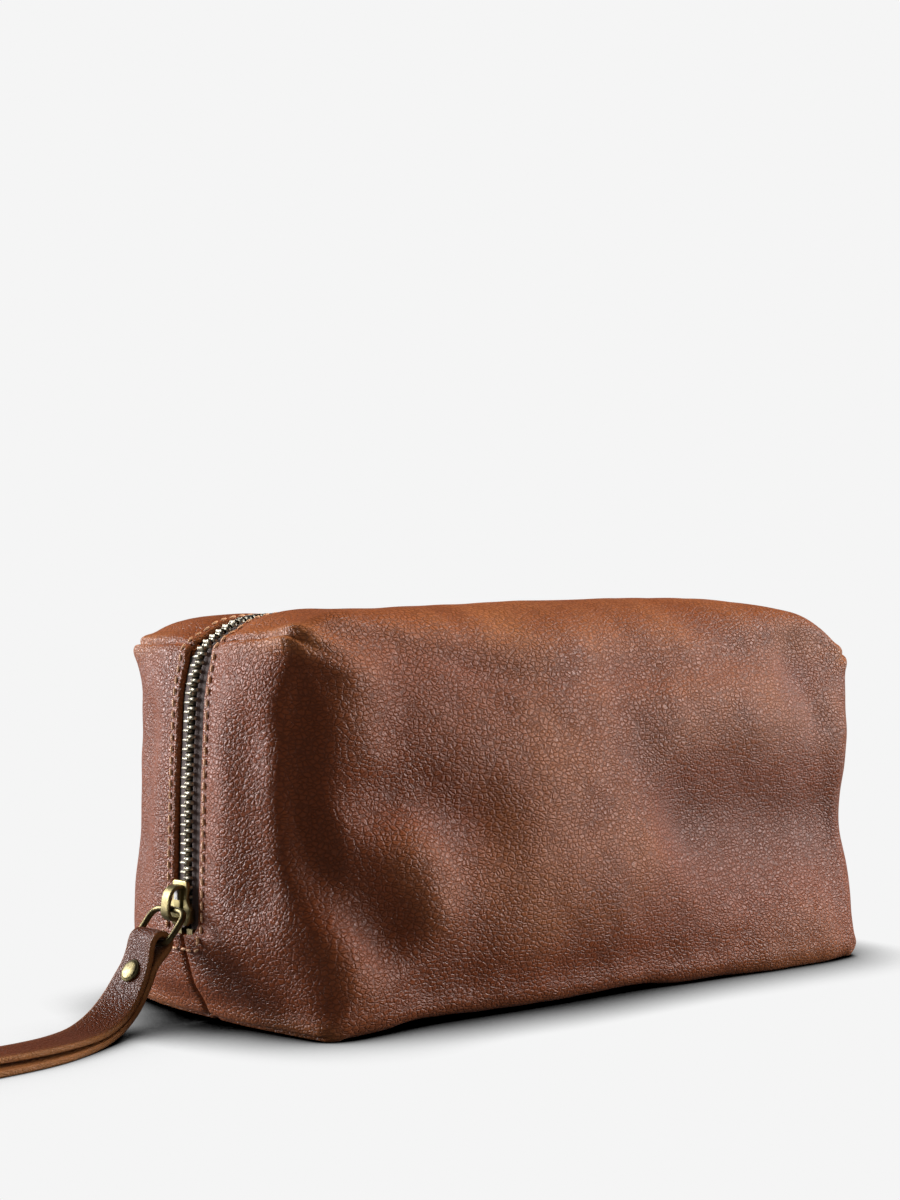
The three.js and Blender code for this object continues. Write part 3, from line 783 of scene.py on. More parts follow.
def run_tree(name, path, tree, values):
    """Makes a plain mesh by running a tree on a path of points in mm."""
    points = np.asarray(path, float)
    mesh = bpy.data.meshes.new(name)
    edges = [(i, i + 1) for i in range(len(points) - 1)]
    mesh.from_pydata([tuple(p) for p in points * MM], edges, [])
    piece = bpy.data.objects.new(name, mesh)
    bpy.context.scene.collection.objects.link(piece)
    modifier = piece.modifiers.new("Along path", "NODES")
    modifier.node_group = tree
    for socket in tree.interface.items_tree:
        if socket.in_out == "INPUT" and socket.name in values:
            modifier[socket.identifier] = values[socket.name]
    return make_plain(piece)


# ---------------------------------------------------------------- effects shared by materials
FLOAT, VECTOR, COLOUR = "NodeSocketFloat", "NodeSocketVector", "NodeSocketColor"


def noise(tree, place, scale, detail, roughness=0.5):
    made = node(tree, "ShaderNodeTexNoise", {"Scale": scale, "Detail": detail, "Roughness": roughness},
                {"Vector": place})
    return made.outputs[0]


def effect(name, inputs, outputs):
    """An empty shader group, with its source sockets and its sink sockets."""
    tree = group_tree(name, "ShaderNodeTree", inputs, outputs)
    return tree, tree.nodes["Group Input"].outputs, tree.nodes["Group Output"].inputs


def grain_effect():
    """Pebbled leather grain: a height, and a mask of the creases between the pebbles."""
    tree, source, sink = effect("leather_grain", [("Vector", VECTOR, None), ("Cell", FLOAT, 1.0)],
                                [("Height", FLOAT), ("Crease", FLOAT)])
    frequency = maths(tree, "DIVIDE", 1000.0, source["Cell"])
    stir = node(tree, "ShaderNodeTexNoise", {"Scale": 420.0, "Detail": 2.0}, {"Vector": source["Vector"]})
    shift = node(tree, "ShaderNodeVectorMath", {3: 0.0012}, {0: stir.outputs["Color"]}, operation="SCALE")
    moved = node(tree, "ShaderNodeVectorMath", links={0: source["Vector"], 1: shift.outputs[0]},
                 operation="ADD")
    stirred = node(tree, "ShaderNodeVectorMath", {1: (0.62, 0.8, 1.0)}, {0: moved.outputs[0]},
                   operation="MULTIPLY").outputs[0]
    cells = node(tree, "ShaderNodeTexVoronoi", links={"Vector": stirred, "Scale": frequency},
                 feature="DISTANCE_TO_EDGE")
    pebble = spread(tree, cells.outputs["Distance"], 0.0, 0.22)
    fine_scale = maths(tree, "MULTIPLY", frequency, 2.3)
    fine = node(tree, "ShaderNodeTexVoronoi", links={"Vector": stirred, "Scale": fine_scale},
                feature="DISTANCE_TO_EDGE")
    fine_pebble = spread(tree, fine.outputs["Distance"], 0.0, 0.3)
    main = maths(tree, "ADD", maths(tree, "MULTIPLY", pebble, 0.62),
                 maths(tree, "MULTIPLY", fine_pebble, 0.22))
    pores = maths(tree, "MULTIPLY", noise(tree, source["Vector"], 5200.0, 2.0), 0.06)
    broad = maths(tree, "MULTIPLY", noise(tree, source["Vector"], 260.0, 3.0), 0.5)
    tree.links.new(maths(tree, "ADD", main, maths(tree, "ADD", pores, broad)), sink["Height"])
    tree.links.new(maths(tree, "SUBTRACT", 1.0, pebble), sink["Crease"])
    return tree


def wear_and_shade_effect():
    """Leather colour: mottled, paler by the wear share, which also carries painted light along the top, with
    painted shade in the fold hollows and in the grain's creases.
    """
    inputs = [("Vector", VECTOR, None), ("Dark", COLOUR, None), ("Mid", COLOUR, None),
              ("Worn Colour", COLOUR, None), ("Crease Colour", COLOUR, None), ("Worn", FLOAT, 0.0),
              ("Hollow", FLOAT, 0.0), ("Crease", FLOAT, 0.0)]
    tree, source, sink = effect("leather_wear_and_painted_shade", inputs, [("Colour", COLOUR), ("Roughness", FLOAT)])
    clouds = noise(tree, source["Vector"], 34.0, 5.0, 0.62)
    cloud = spread(tree, clouds, 0.36, 0.66)
    patch = spread(tree, noise(tree, source["Vector"], 12.0, 3.0), 0.38, 0.64, 0.35, 1.0)
    tone = maths(tree, "ADD", maths(tree, "MULTIPLY", cloud, 0.45), maths(tree, "MULTIPLY", patch, 0.55))
    colour = mix_colour(tree, tone, source["Dark"], source["Mid"])
    colour = mix_colour(tree, 0.55, colour, source["Mid"])
    # Paler towards the worn colour where the leather is worn, and where painted light lies along the top.
    rubbed = maths(tree, "ADD", maths(tree, "MULTIPLY", cloud, 0.7), 0.35)
    colour = mix_colour(tree, maths(tree, "MULTIPLY", source["Worn"], rubbed), colour, source["Worn Colour"])
    # Painted shade: darker in the hollows of the folds.
    colour = mix_colour(tree, maths(tree, "MULTIPLY", source["Hollow"], 0.25), colour, source["Dark"])
    # Painted shade: darker in the creases between the grain's pebbles.
    crease = maths(tree, "MULTIPLY", source["Crease"], 0.45)
    tree.links.new(mix_colour(tree, crease, colour, source["Crease Colour"]), sink["Colour"])
    rough = maths(tree, "ADD", maths(tree, "MULTIPLY", source["Crease"], 0.16),
                  spread(tree, clouds, 0.3, 0.7, 0.29, 0.40))
    tree.links.new(rough, sink["Roughness"])
    return tree


def patina_effect():
    """Antique metal: mottled dark by stains, rubbed bright on its edges, with fine marks."""
    inputs = [("Vector", VECTOR, None), ("Dark", COLOUR, None), ("Bright", COLOUR, None),
              ("Edge Colour", COLOUR, None), ("Worn", FLOAT, 0.0)]
    outputs = [("Colour", COLOUR), ("Roughness", FLOAT), ("Height", FLOAT)]
    tree, source, sink = effect("metal_patina", inputs, outputs)
    stain = noise(tree, source["Vector"], 520.0, 6.0, 0.65)
    colour = mix_colour(tree, spread(tree, stain, 0.40, 0.62), source["Dark"], source["Bright"])
    colour = mix_colour(tree, 0.40, colour, source["Bright"])
    tree.links.new(mix_colour(tree, source["Worn"], colour, source["Edge Colour"]), sink["Colour"])
    tree.links.new(spread(tree, stain, 0.3, 0.7, 0.55, 0.40), sink["Roughness"])
    spots = maths(tree, "MULTIPLY", noise(tree, source["Vector"], 2600.0, 2.0), 0.4)
    tree.links.new(maths(tree, "ADD", noise(tree, source["Vector"], 900.0, 3.0), spots), sink["Height"])
    return tree


def weave_effect():
    """Plain woven cloth from two crossed waves and a little fluff, with painted shade on the low parts of the
    weave and painted light on its high parts.
    """
    inputs = [("Vector", VECTOR, None), ("Turns", FLOAT, 1.0), ("Low Colour", COLOUR, None),
              ("High Colour", COLOUR, None)]
    tree, source, sink = effect("cloth_weave", inputs, [("Colour", COLOUR), ("Height", FLOAT)])
    parts = node(tree, "ShaderNodeSeparateXYZ", links={0: source["Vector"]}).outputs
    along = maths(tree, "MULTIPLY", maths(tree, "ADD", parts[0], parts[2]), source["Turns"])
    across = maths(tree, "MULTIPLY", parts[1], source["Turns"])
    weave = maths(tree, "MULTIPLY", maths(tree, "SINE", along), maths(tree, "SINE", across))
    fluff = noise(tree, source["Vector"], 1800.0, 3.0)
    height = maths(tree, "ADD", maths(tree, "MULTIPLY", weave, 0.5), maths(tree, "MULTIPLY", fluff, 0.6))
    # Painted shade and light: the colour follows the weave's height.
    mask = spread(tree, height, -0.3, 0.9)
    tree.links.new(mix_colour(tree, mask, source["Low Colour"], source["High Colour"]), sink["Colour"])
    tree.links.new(height, sink["Height"])
    return tree


EFFECTS = {"leather_grain": grain_effect, "leather_wear_and_painted_shade": wear_and_shade_effect, "metal_patina": patina_effect,
           "cloth_weave": weave_effect}


def use_effect(tree, name, values=None, links=None):
    """Adds an effect's group, made once, to a material and returns its output sockets."""
    made = tree.nodes.new("ShaderNodeGroup")
    made.node_tree = bpy.data.node_groups.get(name) or EFFECTS[name]()
    for key, value in (values or {}).items():
        made.inputs[key].default_value = value if isinstance(value, float) else (*value, 1.0)
    for key, socket in (links or {}).items():
        tree.links.new(socket, made.inputs[key])
    return made.outputs


# ---------------------------------------------------------------- materials
def scaled(colour, factor):
    return tuple(min(1.0, factor * c) for c in colour)


def new_material(name):
    material = bpy.data.materials.new(name)
    material.use_nodes = True
    tree = material.node_tree
    shader = tree.nodes["Principled BSDF"]
    place = tree.nodes.new("ShaderNodeTexCoord").outputs["Object"]
    return material, tree, shader, place


def stored(tree, name):
    """A value kept at the points of the mesh."""
    return node(tree, "ShaderNodeAttribute", attribute_name=name).outputs["Fac"]


def bump(tree, shader, height, distance):
    made = node(tree, "ShaderNodeBump", {"Distance": distance}, {"Height": height})
    tree.links.new(made.outputs[0], shader.inputs["Normal"])


def leather_material(name, colours, cell, depth):
    material, tree, shader, place = new_material(name)
    dark, mid, worn = colours
    grain = use_effect(tree, "leather_grain", {"Cell": cell}, {"Vector": place})
    # The leather's colour, with painted shade in the fold hollows and the grain's creases, and painted light
    # along the top carried by the wear share.
    wear_and_shade = use_effect(tree, "leather_wear_and_painted_shade",
                      {"Dark": dark, "Mid": mid, "Worn Colour": worn, "Crease Colour": scaled(dark, 0.5)},
                      {"Vector": place, "Worn": stored(tree, "worn"), "Hollow": stored(tree, "hollow"),
                       "Crease": grain["Crease"]})
    tree.links.new(wear_and_shade["Colour"], shader.inputs["Base Color"])
    tree.links.new(wear_and_shade["Roughness"], shader.inputs["Roughness"])
    shader.inputs["Specular IOR Level"].default_value = 0.26
    bump(tree, shader, grain["Height"], depth)
    return material


def strap_material(name, colours):
    """Strap leather: dark grain on one face and raw orange flesh on the edges and the other face."""
    material = leather_material(name, colours, cell=0.8, depth=0.00022)
    tree = material.node_tree
    base = tree.nodes["Principled BSDF"].inputs["Base Color"]
    fibres = noise(tree, tree.nodes["Texture Coordinate"].outputs["Object"], 1600.0, 4.0)
    raw = mix_colour(tree, fibres, (0.20, 0.065, 0.018), (0.46, 0.20, 0.07))
    tree.links.new(mix_colour(tree, stored(tree, "raw"), base.links[0].from_socket, raw), base)
    return material


def brass_material(name, bright):
    material, tree, shader, place = new_material(name)
    patina = use_effect(tree, "metal_patina",
                        {"Dark": (0.045, 0.034, 0.018), "Bright": bright, "Edge Colour": scaled(bright, 1.7)},
                        {"Vector": place, "Worn": stored(tree, "worn")})
    tree.links.new(patina["Colour"], shader.inputs["Base Color"])
    tree.links.new(patina["Roughness"], shader.inputs["Roughness"])
    shader.inputs["Metallic"].default_value = 1.0
    bump(tree, shader, patina["Height"], 0.00003)
    return material


def woven_material(name, colour, thread_mm):
    material, tree, shader, place = new_material(name)
    weave = use_effect(tree, "cloth_weave",
                       {"Turns": 2 * math.pi / (thread_mm * MM), "Low Colour": scaled(colour, 0.45),
                        "High Colour": scaled(colour, 1.5)}, {"Vector": place})
    tree.links.new(weave["Colour"], shader.inputs["Base Color"])
    shader.inputs["Roughness"].default_value = 0.85
    shader.inputs["Sheen Weight"].default_value = 0.25
    bump(tree, shader, weave["Height"], 0.00012)
    return material


def thread_material(name, colour):
    material, tree, shader, place = new_material(name)
    twist = node(tree, "ShaderNodeTexWave", {"Scale": 900.0, "Distortion": 1.5, "Detail": 1.0},
                 {"Vector": place}, bands_direction="DIAGONAL").outputs["Fac"]
    # Painted shade: the thread is darker in the grooves of its twist.
    tree.links.new(mix_colour(tree, twist, scaled(colour, 0.7), colour), shader.inputs["Base Color"])
    shader.inputs["Roughness"].default_value = 0.6
    bump(tree, shader, twist, 0.00008)
    return material


def steel_material(name):
    material, tree, shader, place = new_material(name)
    lines = noise(tree, place, 1500.0, 4.0)
    tint = mix_colour(tree, lines, (0.3, 0.3, 0.3), (0.6, 0.6, 0.58))
    tree.links.new(tint, shader.inputs["Base Color"])
    shader.inputs["Metallic"].default_value = 1.0
    tree.links.new(spread(tree, lines, 0.3, 0.7, 0.25, 0.4), shader.inputs["Roughness"])
    return material


def finish_of(key):
    """The material for a finish, made once."""
    made = bpy.data.materials.get(key)
    if made:
        return made
    colours = bpy.context.scene.wash_bag_finishes
    leather = [tuple(c) for c in (colours.leather_dark, colours.leather_mid, colours.leather_worn_and_lit)]
    if key == "bag_leather":
        return leather_material(key, leather, cell=1.2, depth=0.00028)
    # The strap's leather is the bag's leather darkened by half, as painted shade for its brightly lit top.
    if key == "strap_hide":
        return strap_material(key, [scaled(colour, 0.5) for colour in leather])
    if key == "aged_brass":
        return brass_material(key, tuple(colours.brass))
    if key == "tooth_brass":
        return brass_material(key, (0.52, 0.48, 0.38))
    if key == "tape_weave":
        return woven_material(key, tuple(colours.tape), 0.7)
    if key == "lining_cloth":
        return woven_material(key, (0.06, 0.045, 0.036), 0.9)
    if key == "thread":
        return thread_material(key, tuple(colours.thread))
    if key == "spring_wire":
        return steel_material(key)
    raise KeyError(key)


def edge_values(piece):
    """Stores how sharply the surface turns outwards at each point, from 0 to 1, for worn metal edges."""
    mesh = bmesh.new()
    mesh.from_mesh(piece.data)
    sharpest = [max((edge.calc_face_angle_signed(0.0) for edge in vertex.link_edges), default=0.0)
                for vertex in mesh.verts]
    mesh.free()
    set_values(piece, "worn", np.clip(np.array(sharpest) / 0.45, 0.0, 1.0))


# ---------------------------------------------------------------- stage
BACKDROP = (0.913, 0.913, 0.913)
SKY = (0.05, 0.05, 0.054)
FLOOR_BOUNCE = (0.14, 0.14, 0.14)
BLACK = (0.0, 0.0, 0.0)
# One triangle reaches far past the picture on every side.
FLOOR_NEAR, FLOOR_FAR = -60.0, 180.0
# Each lamp: name, place, what it points at, size, watts, colour, and whether it shows in the sheen.
LAMPS = [
    ("window_right", (1.15, -0.75, 0.46), (0.05, 0.0, 0.06), (0.9, 0.75), 25.0, (0.98, 0.99, 1.0), True),
    ("window_left", (-0.80, 0.98, 0.40), (-0.1, 0.0, 0.06), (0.6, 0.6), 34.0, (0.97, 0.97, 1.0), True),
    ("overhead", (0.5, 0.05, 1.25), (0.0, 0.0, 0.05), (0.8, 0.8), 21.0, (1.0, 0.95, 0.88), False),
    ("fill", (-0.9, -0.9, 0.6), (0.0, 0.0, 0.05), (0.8, 0.8), 2.0, (1.0, 0.96, 0.92), False),
]


class StageOperator(bpy.types.Operator):
    """Make the camera, the soft lights and the pale floor"""
    bl_idname = "wash_bag.stage"
    bl_label = "Stage"

    def execute(self, context):
        scene = context.scene
        self.camera(scene)
        self.floor(scene)
        self.sky(scene)
        for lamp in LAMPS:
            self.light(scene, *lamp)
        scene.view_settings.view_transform = "Standard"
        return {"FINISHED"}

    def camera(self, scene):
        data = bpy.data.cameras.new("camera")
        data.sensor_fit = "HORIZONTAL"
        data.sensor_width = 36.0
        data.lens = 67.24
        data.clip_start = 0.01
        camera = bpy.data.objects.new("camera", data)
        camera.location = (-0.3925, -0.408, 0.0905)
        camera.rotation_euler = (math.radians(90 + 3.45), 0.0, math.radians(-41.46))
        scene.collection.objects.link(camera)
        scene.camera = camera

    def floor(self, scene):
        """Shows the camera an even pale surface with a painted contact shadow, from ambient occlusion, close
        to what stands on it.
        """
        corners = [(FLOOR_NEAR, FLOOR_NEAR, 0), (FLOOR_FAR, FLOOR_NEAR, 0), (FLOOR_NEAR, FLOOR_FAR, 0)]
        mesh = bpy.data.meshes.new("floor")
        mesh.from_pydata(corners, [], [(0, 1, 2)])
        piece = bpy.data.objects.new("floor", mesh)
        scene.collection.objects.link(piece)
        material, tree, shader, _ = new_material("pale_floor")
        seen = node(tree, "ShaderNodeLightPath").outputs["Is Camera Ray"]
        # Painted contact shadow: the floor's glow dims where ambient occlusion finds the bag close by.
        open_share = node(tree, "ShaderNodeAmbientOcclusion", {"Distance": 0.030}, samples=16).outputs["AO"]
        shade = maths(tree, "POWER", spread(tree, open_share, 0.38, 0.97), 1.3)
        glow_with_painted_shadow = mix_colour(tree, maths(tree, "MULTIPLY", shade, seen), BLACK, BACKDROP)
        tree.links.new(glow_with_painted_shadow, shader.inputs["Emission Color"])
        tree.links.new(mix_colour(tree, seen, FLOOR_BOUNCE, BLACK), shader.inputs["Base Color"])
        shader.inputs["Emission Strength"].default_value = 1.0
        shader.inputs["Roughness"].default_value = 1.0
        shader.inputs["Specular IOR Level"].default_value = 0.0
        mesh.materials.append(material)

    def sky(self, scene):
        world = bpy.data.worlds.new("studio")
        world.use_nodes = True
        tree = world.node_tree
        seen = node(tree, "ShaderNodeLightPath").outputs["Is Camera Ray"]
        tree.links.new(mix_colour(tree, seen, SKY, BACKDROP), tree.nodes["Background"].inputs["Color"])
        scene.world = world

    def light(self, scene, name, place, target, size, power, colour, shines):
        data = bpy.data.lights.new(name, "AREA")
        data.shape = "RECTANGLE"
        data.size, data.size_y = size
        data.energy = power
        data.color = colour
        lamp = bpy.data.objects.new(name, data)
        lamp.location = place
        lamp.visible_glossy = shines
        lamp.rotation_euler = (Vector(target) - Vector(place)).to_track_quat("-Z", "Y").to_euler()
        scene.collection.objects.link(lamp)


# ---------------------------------------------------------------- leather, lining, zip and thread
# Across the tape: distance from the middle line and lift towards the outside.
TAPE_SECTION = [(1.5, 0.0), (1.8, 0.5), (2.5, 0.6), (3.0, 0.1), (3.8, 0.0), (5.4, -0.15), (6.3, -0.9),
                (8.5, -1.3), (12.0, -1.6), (15.0, -1.9)]
TAPE_INSET = 2.8
CHAIN_INSET = 2.2
CHAIN_STEP = 0.5
TOOTH_OVERLAP = 0.55
THREAD_LIFT = 0.42
HALVES = [("front", -1), ("back", 1)]


class LeatherOperator(bpy.types.Operator):
    """Make the front and back leather panels"""
    bl_idname = "wash_bag.leather"
    bl_label = "Leather panels"

    def execute(self, context):
        for (half, side), folds, seed in zip(HALVES, (FRONT_FOLDS, BACK_FOLDS), (1, 5)):
            piece = leather_panel(half + "_leather", side, folds + END_FOLDS, seed)
            thicken(piece, sizes().leather)
            dress(piece, finish_of("bag_leather"))
            bend_with(piece)
            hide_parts(half + "_panel", "base_" + half)
        return {"FINISHED"}


class LiningOperator(bpy.types.Operator):
    """Make the cloth lining inside the two halves"""
    bl_idname = "wash_bag.lining"
    bl_label = "Lining"

    def execute(self, context):
        for half, side in HALVES:
            piece = self.cloth(half + "_cloth", side)
            dress(piece, finish_of("lining_cloth"))
            bend_with(piece)
            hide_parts(half + "_lining", *(["base_lining"] if side < 0 else []))
        return {"FINISHED"}

    def cloth(self, name, side):
        """Cloth that hangs inside the leather and follows its hollows, set back from the zip."""
        loop, grid, normals, from_rim = panel_grid(side, depth_shift=4.6)
        folds = FRONT_FOLDS if side < 0 else BACK_FOLDS
        hollows = np.minimum(fold_height(grid, folds + END_FOLDS), 0.0) * smooth(4.0, 20.0, from_rim)
        grid = (grid + 1.15 * normals * hollows[..., None])[:, LINING_START:]
        set_back = 4.5 * smooth(18.0, 26.0, grid[:, 0, 2])
        grid[:, 0, 1] += side * np.where(loop.side == 3, 0.0, set_back)
        return thicken(closed_panel(name, grid, side), 0.5)


class ZipTapeOperator(bpy.types.Operator):
    """Make the two woven zip tapes"""
    bl_idname = "wash_bag.zip_tape"
    bl_label = "Zip tapes"

    def execute(self, context):
        path = straight_end(zip_path(TAPE_INSET, FOLD_HEIGHT - 6.0, step=2.5), CHAIN_FACE + 0.6)
        normal = path_normals(path)
        for half, side in HALVES:
            rows = []
            for across, lift in TAPE_SECTION:
                moved = path + normal * lift
                rows.append(np.stack([moved[:, 0], np.full(len(path), side * across), moved[:, 1]], axis=1))
            points = np.stack(rows, axis=1).reshape(-1, 3)
            piece = mesh_from(half + "_tape", points, strip_faces(len(path), len(TAPE_SECTION)))
            face_away(piece, (0.0, 0.0, INSIDE_HEIGHT))
            thicken(piece, 0.55)
            dress(piece, finish_of("tape_weave"))
            bend_with(piece)
            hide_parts(half + "_zip_tape")
        return {"FINISHED"}


class ZipTeethOperator(bpy.types.Operator):
    """Set the metal teeth along the zip"""
    bl_idname = "wash_bag.zip_teeth"
    bl_label = "Zip teeth"

    def execute(self, context):
        teeth = context.scene.wash_bag_zip
        inputs = [("Reach", FLOAT, 0.003), ("Width", FLOAT, 0.0012), ("Height", FLOAT, 0.0024),
                  ("Side", FLOAT, 1.0), ("Sides", "NodeSocketInt", 8)]
        tree = along_path_tree("zip_teeth_along_path", tooth_shape, inputs)
        path = straight_end(zip_path(CHAIN_INSET, float(SLIDER_LOW[2]) + 5.0, step=CHAIN_STEP), CHAIN_FACE)
        # One row starts half a pitch later, so that its teeth stand between the other row's.
        half_pitch = max(1, round(teeth.pitch / 2 / CHAIN_STEP))
        middle = 0.5 * teeth.reach - TOOTH_OVERLAP
        for half, side in HALVES:
            row = path[half_pitch:] if side > 0 else path
            points = np.stack([row[:, 0], np.full(len(row), side * middle), row[:, 1]], axis=1)
            piece = run_tree(half + "_teeth", points, tree, {
                "Pitch": teeth.pitch * MM, "Reach": teeth.reach * MM, "Width": teeth.width * MM,
                "Height": teeth.height * MM, "Side": float(side), "Sides": teeth.around,
                "Material": finish_of("tooth_brass")})
            bend_with(piece)
            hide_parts(half + "_zip_teeth")
        return {"FINISHED"}


class StitchOperator(bpy.types.Operator):
    """Sew the lines of thread beside the zip and under its lower end"""
    bl_idname = "wash_bag.stitches"
    bl_label = "Stitches"

    def execute(self, context):
        tree = along_path_tree("stitches_along_path", stitch_shape,
                               [("Length", FLOAT, 0.0026), ("Thread", FLOAT, 0.0006)])
        sewing = context.scene.wash_bag_stitches
        values = {"Pitch": sewing.pitch * MM, "Length": sewing.length * MM, "Thread": sewing.thickness * MM,
                  "Slant": math.radians(7.0), "Material": finish_of("thread")}
        graph = context.evaluated_depsgraph_get()
        leather = {side: BVHTree.FromObject(bpy.data.objects[half + "_leather"], graph)
                   for half, side in HALVES}
        window = sizes().window_height
        across = SLOT_HALF + sewing.inset
        path = zip_path(0.0, window - 1.0, step=1.2)
        normal = path_normals(path)
        for half, side in HALVES:
            starts = [(x + 20 * nx, side * across, z + 20 * nz) for (x, z), (nx, nz) in zip(path, normal)]
            ways = [(-nx, 0.0, -nz) for nx, nz in normal]
            line = [self.on_leather(leather[side], start, way) for start, way in zip(starts, ways)]
            piece = run_tree(half + "_stitches", self.found(line), tree, values)
            bend_with(piece)
        for end, turn in (("near", -1), ("far", 1)):
            line = [self.on_leather(leather[-1 if y < 0 else 1], (200.0 * turn, y, z), (-turn, 0.0, 0.0))
                    for y, z in self.window_outline(across, window)]
            piece = run_tree(end + "_window_stitches", self.found(line), tree, values)
            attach(piece, "root")
        return {"FINISHED"}

    def on_leather(self, surface, start, way):
        """The place just above the leather that is met from a start along a way, or None."""
        hit, normal, _, _ = surface.ray_cast(Vector(start) * MM, Vector(way))
        return None if hit is None else np.array(hit) / MM + np.array(normal) * THREAD_LIFT

    def found(self, line):
        return [point for point in line if point is not None]

    def window_outline(self, across, window):
        """A line (y, z) that rounds the corners below the window and crosses the seam."""
        radius = 3.0
        bottom = window - 4.0
        half = [(across, window - 0.5)]
        half += [(across - radius + radius * math.cos(angle), bottom + radius - radius * math.sin(angle))
                 for angle in np.linspace(0.0, math.pi / 2, 6)]
        half += [(y, bottom) for y in np.linspace(across - radius - 1.0, 0.8, 5)]
        return [(-y, z) for y, z in half] + [(y, z) for y, z in reversed(half)]


# ---------------------------------------------------------------- metal pieces
def lathe(profile, steps=40):
    """Points and faces of a (radius, height) profile turned round Z, which starts and ends on the axis."""
    inner = profile[1:-1]
    points = [(0.0, 0.0, profile[0][1])]
    for radius, height in inner:
        for k in range(steps):
            angle = 2 * math.pi * k / steps
            points.append((radius * math.cos(angle), radius * math.sin(angle), height))
    points.append((0.0, 0.0, profile[-1][1]))
    faces = [(0, 1 + (k + 1) % steps, 1 + k) for k in range(steps)]
    for i in range(len(inner) - 1):
        for k in range(steps):
            a = 1 + i * steps + k
            b = 1 + i * steps + (k + 1) % steps
            faces.append((a, b, b + steps, a + steps))
    last = len(points) - 1
    start = 1 + (len(inner) - 1) * steps
    faces += [(start + k, start + (k + 1) % steps, last) for k in range(steps)]
    return np.array(points), faces


def bevelled(piece, width, segments):
    bevel = piece.modifiers.new("Edges", "BEVEL")
    bevel.width = width * MM
    bevel.segments = segments
    bevel.limit_method = "ANGLE"
    bevel.angle_limit = math.radians(28)
    return make_plain(piece)


def prism(outline, low_end, high_end):
    """A solid whose flat outline (y, z) runs between two distances from the bag along -X."""
    count = len(outline)
    points = [(-low_end, y, z) for y, z in outline] + [(-high_end, y, z) for y, z in outline]
    faces = [tuple(range(count)), tuple(range(2 * count - 1, count - 1, -1))]
    faces += [(i, i + count, (i + 1) % count + count, (i + 1) % count) for i in range(count)]
    return np.array(points), faces


def joined(parts):
    points, faces, start = [], [], 0
    for part_points, part_faces in parts:
        points.append(np.asarray(part_points))
        faces += [tuple(v + start for v in face) for face in part_faces]
        start += len(part_points)
    return np.concatenate(points), faces


def fix_outwards(piece):
    mesh = bmesh.new()
    mesh.from_mesh(piece.data)
    bmesh.ops.remove_doubles(mesh, verts=mesh.verts, dist=1e-7)
    bmesh.ops.recalc_face_normals(mesh, faces=mesh.faces)
    mesh.to_mesh(piece.data)
    mesh.free()


def finish_metal(piece, body, node_name):
    dress(piece, finish_of("aged_brass"))
    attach(piece, body)
    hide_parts(node_name)


# The slider plate's half width as a share of its widest, at shares of its length from the top.
PLATE_EDGE = [(0.50, 0.0), (0.60, 0.03), (0.64, 0.09), (0.64, 0.24), (0.60, 0.34), (0.62, 0.42),
              (0.72, 0.50), (0.84, 0.56), (0.93, 0.60), (0.97, 0.64), (0.92, 0.67), (0.88, 0.74),
              (0.84, 0.84), (0.76, 0.93), (0.62, 1.0)]
PLATE = 1.2
BAND_HALF_THICKNESS = 0.62
RING_WIRE = 0.9


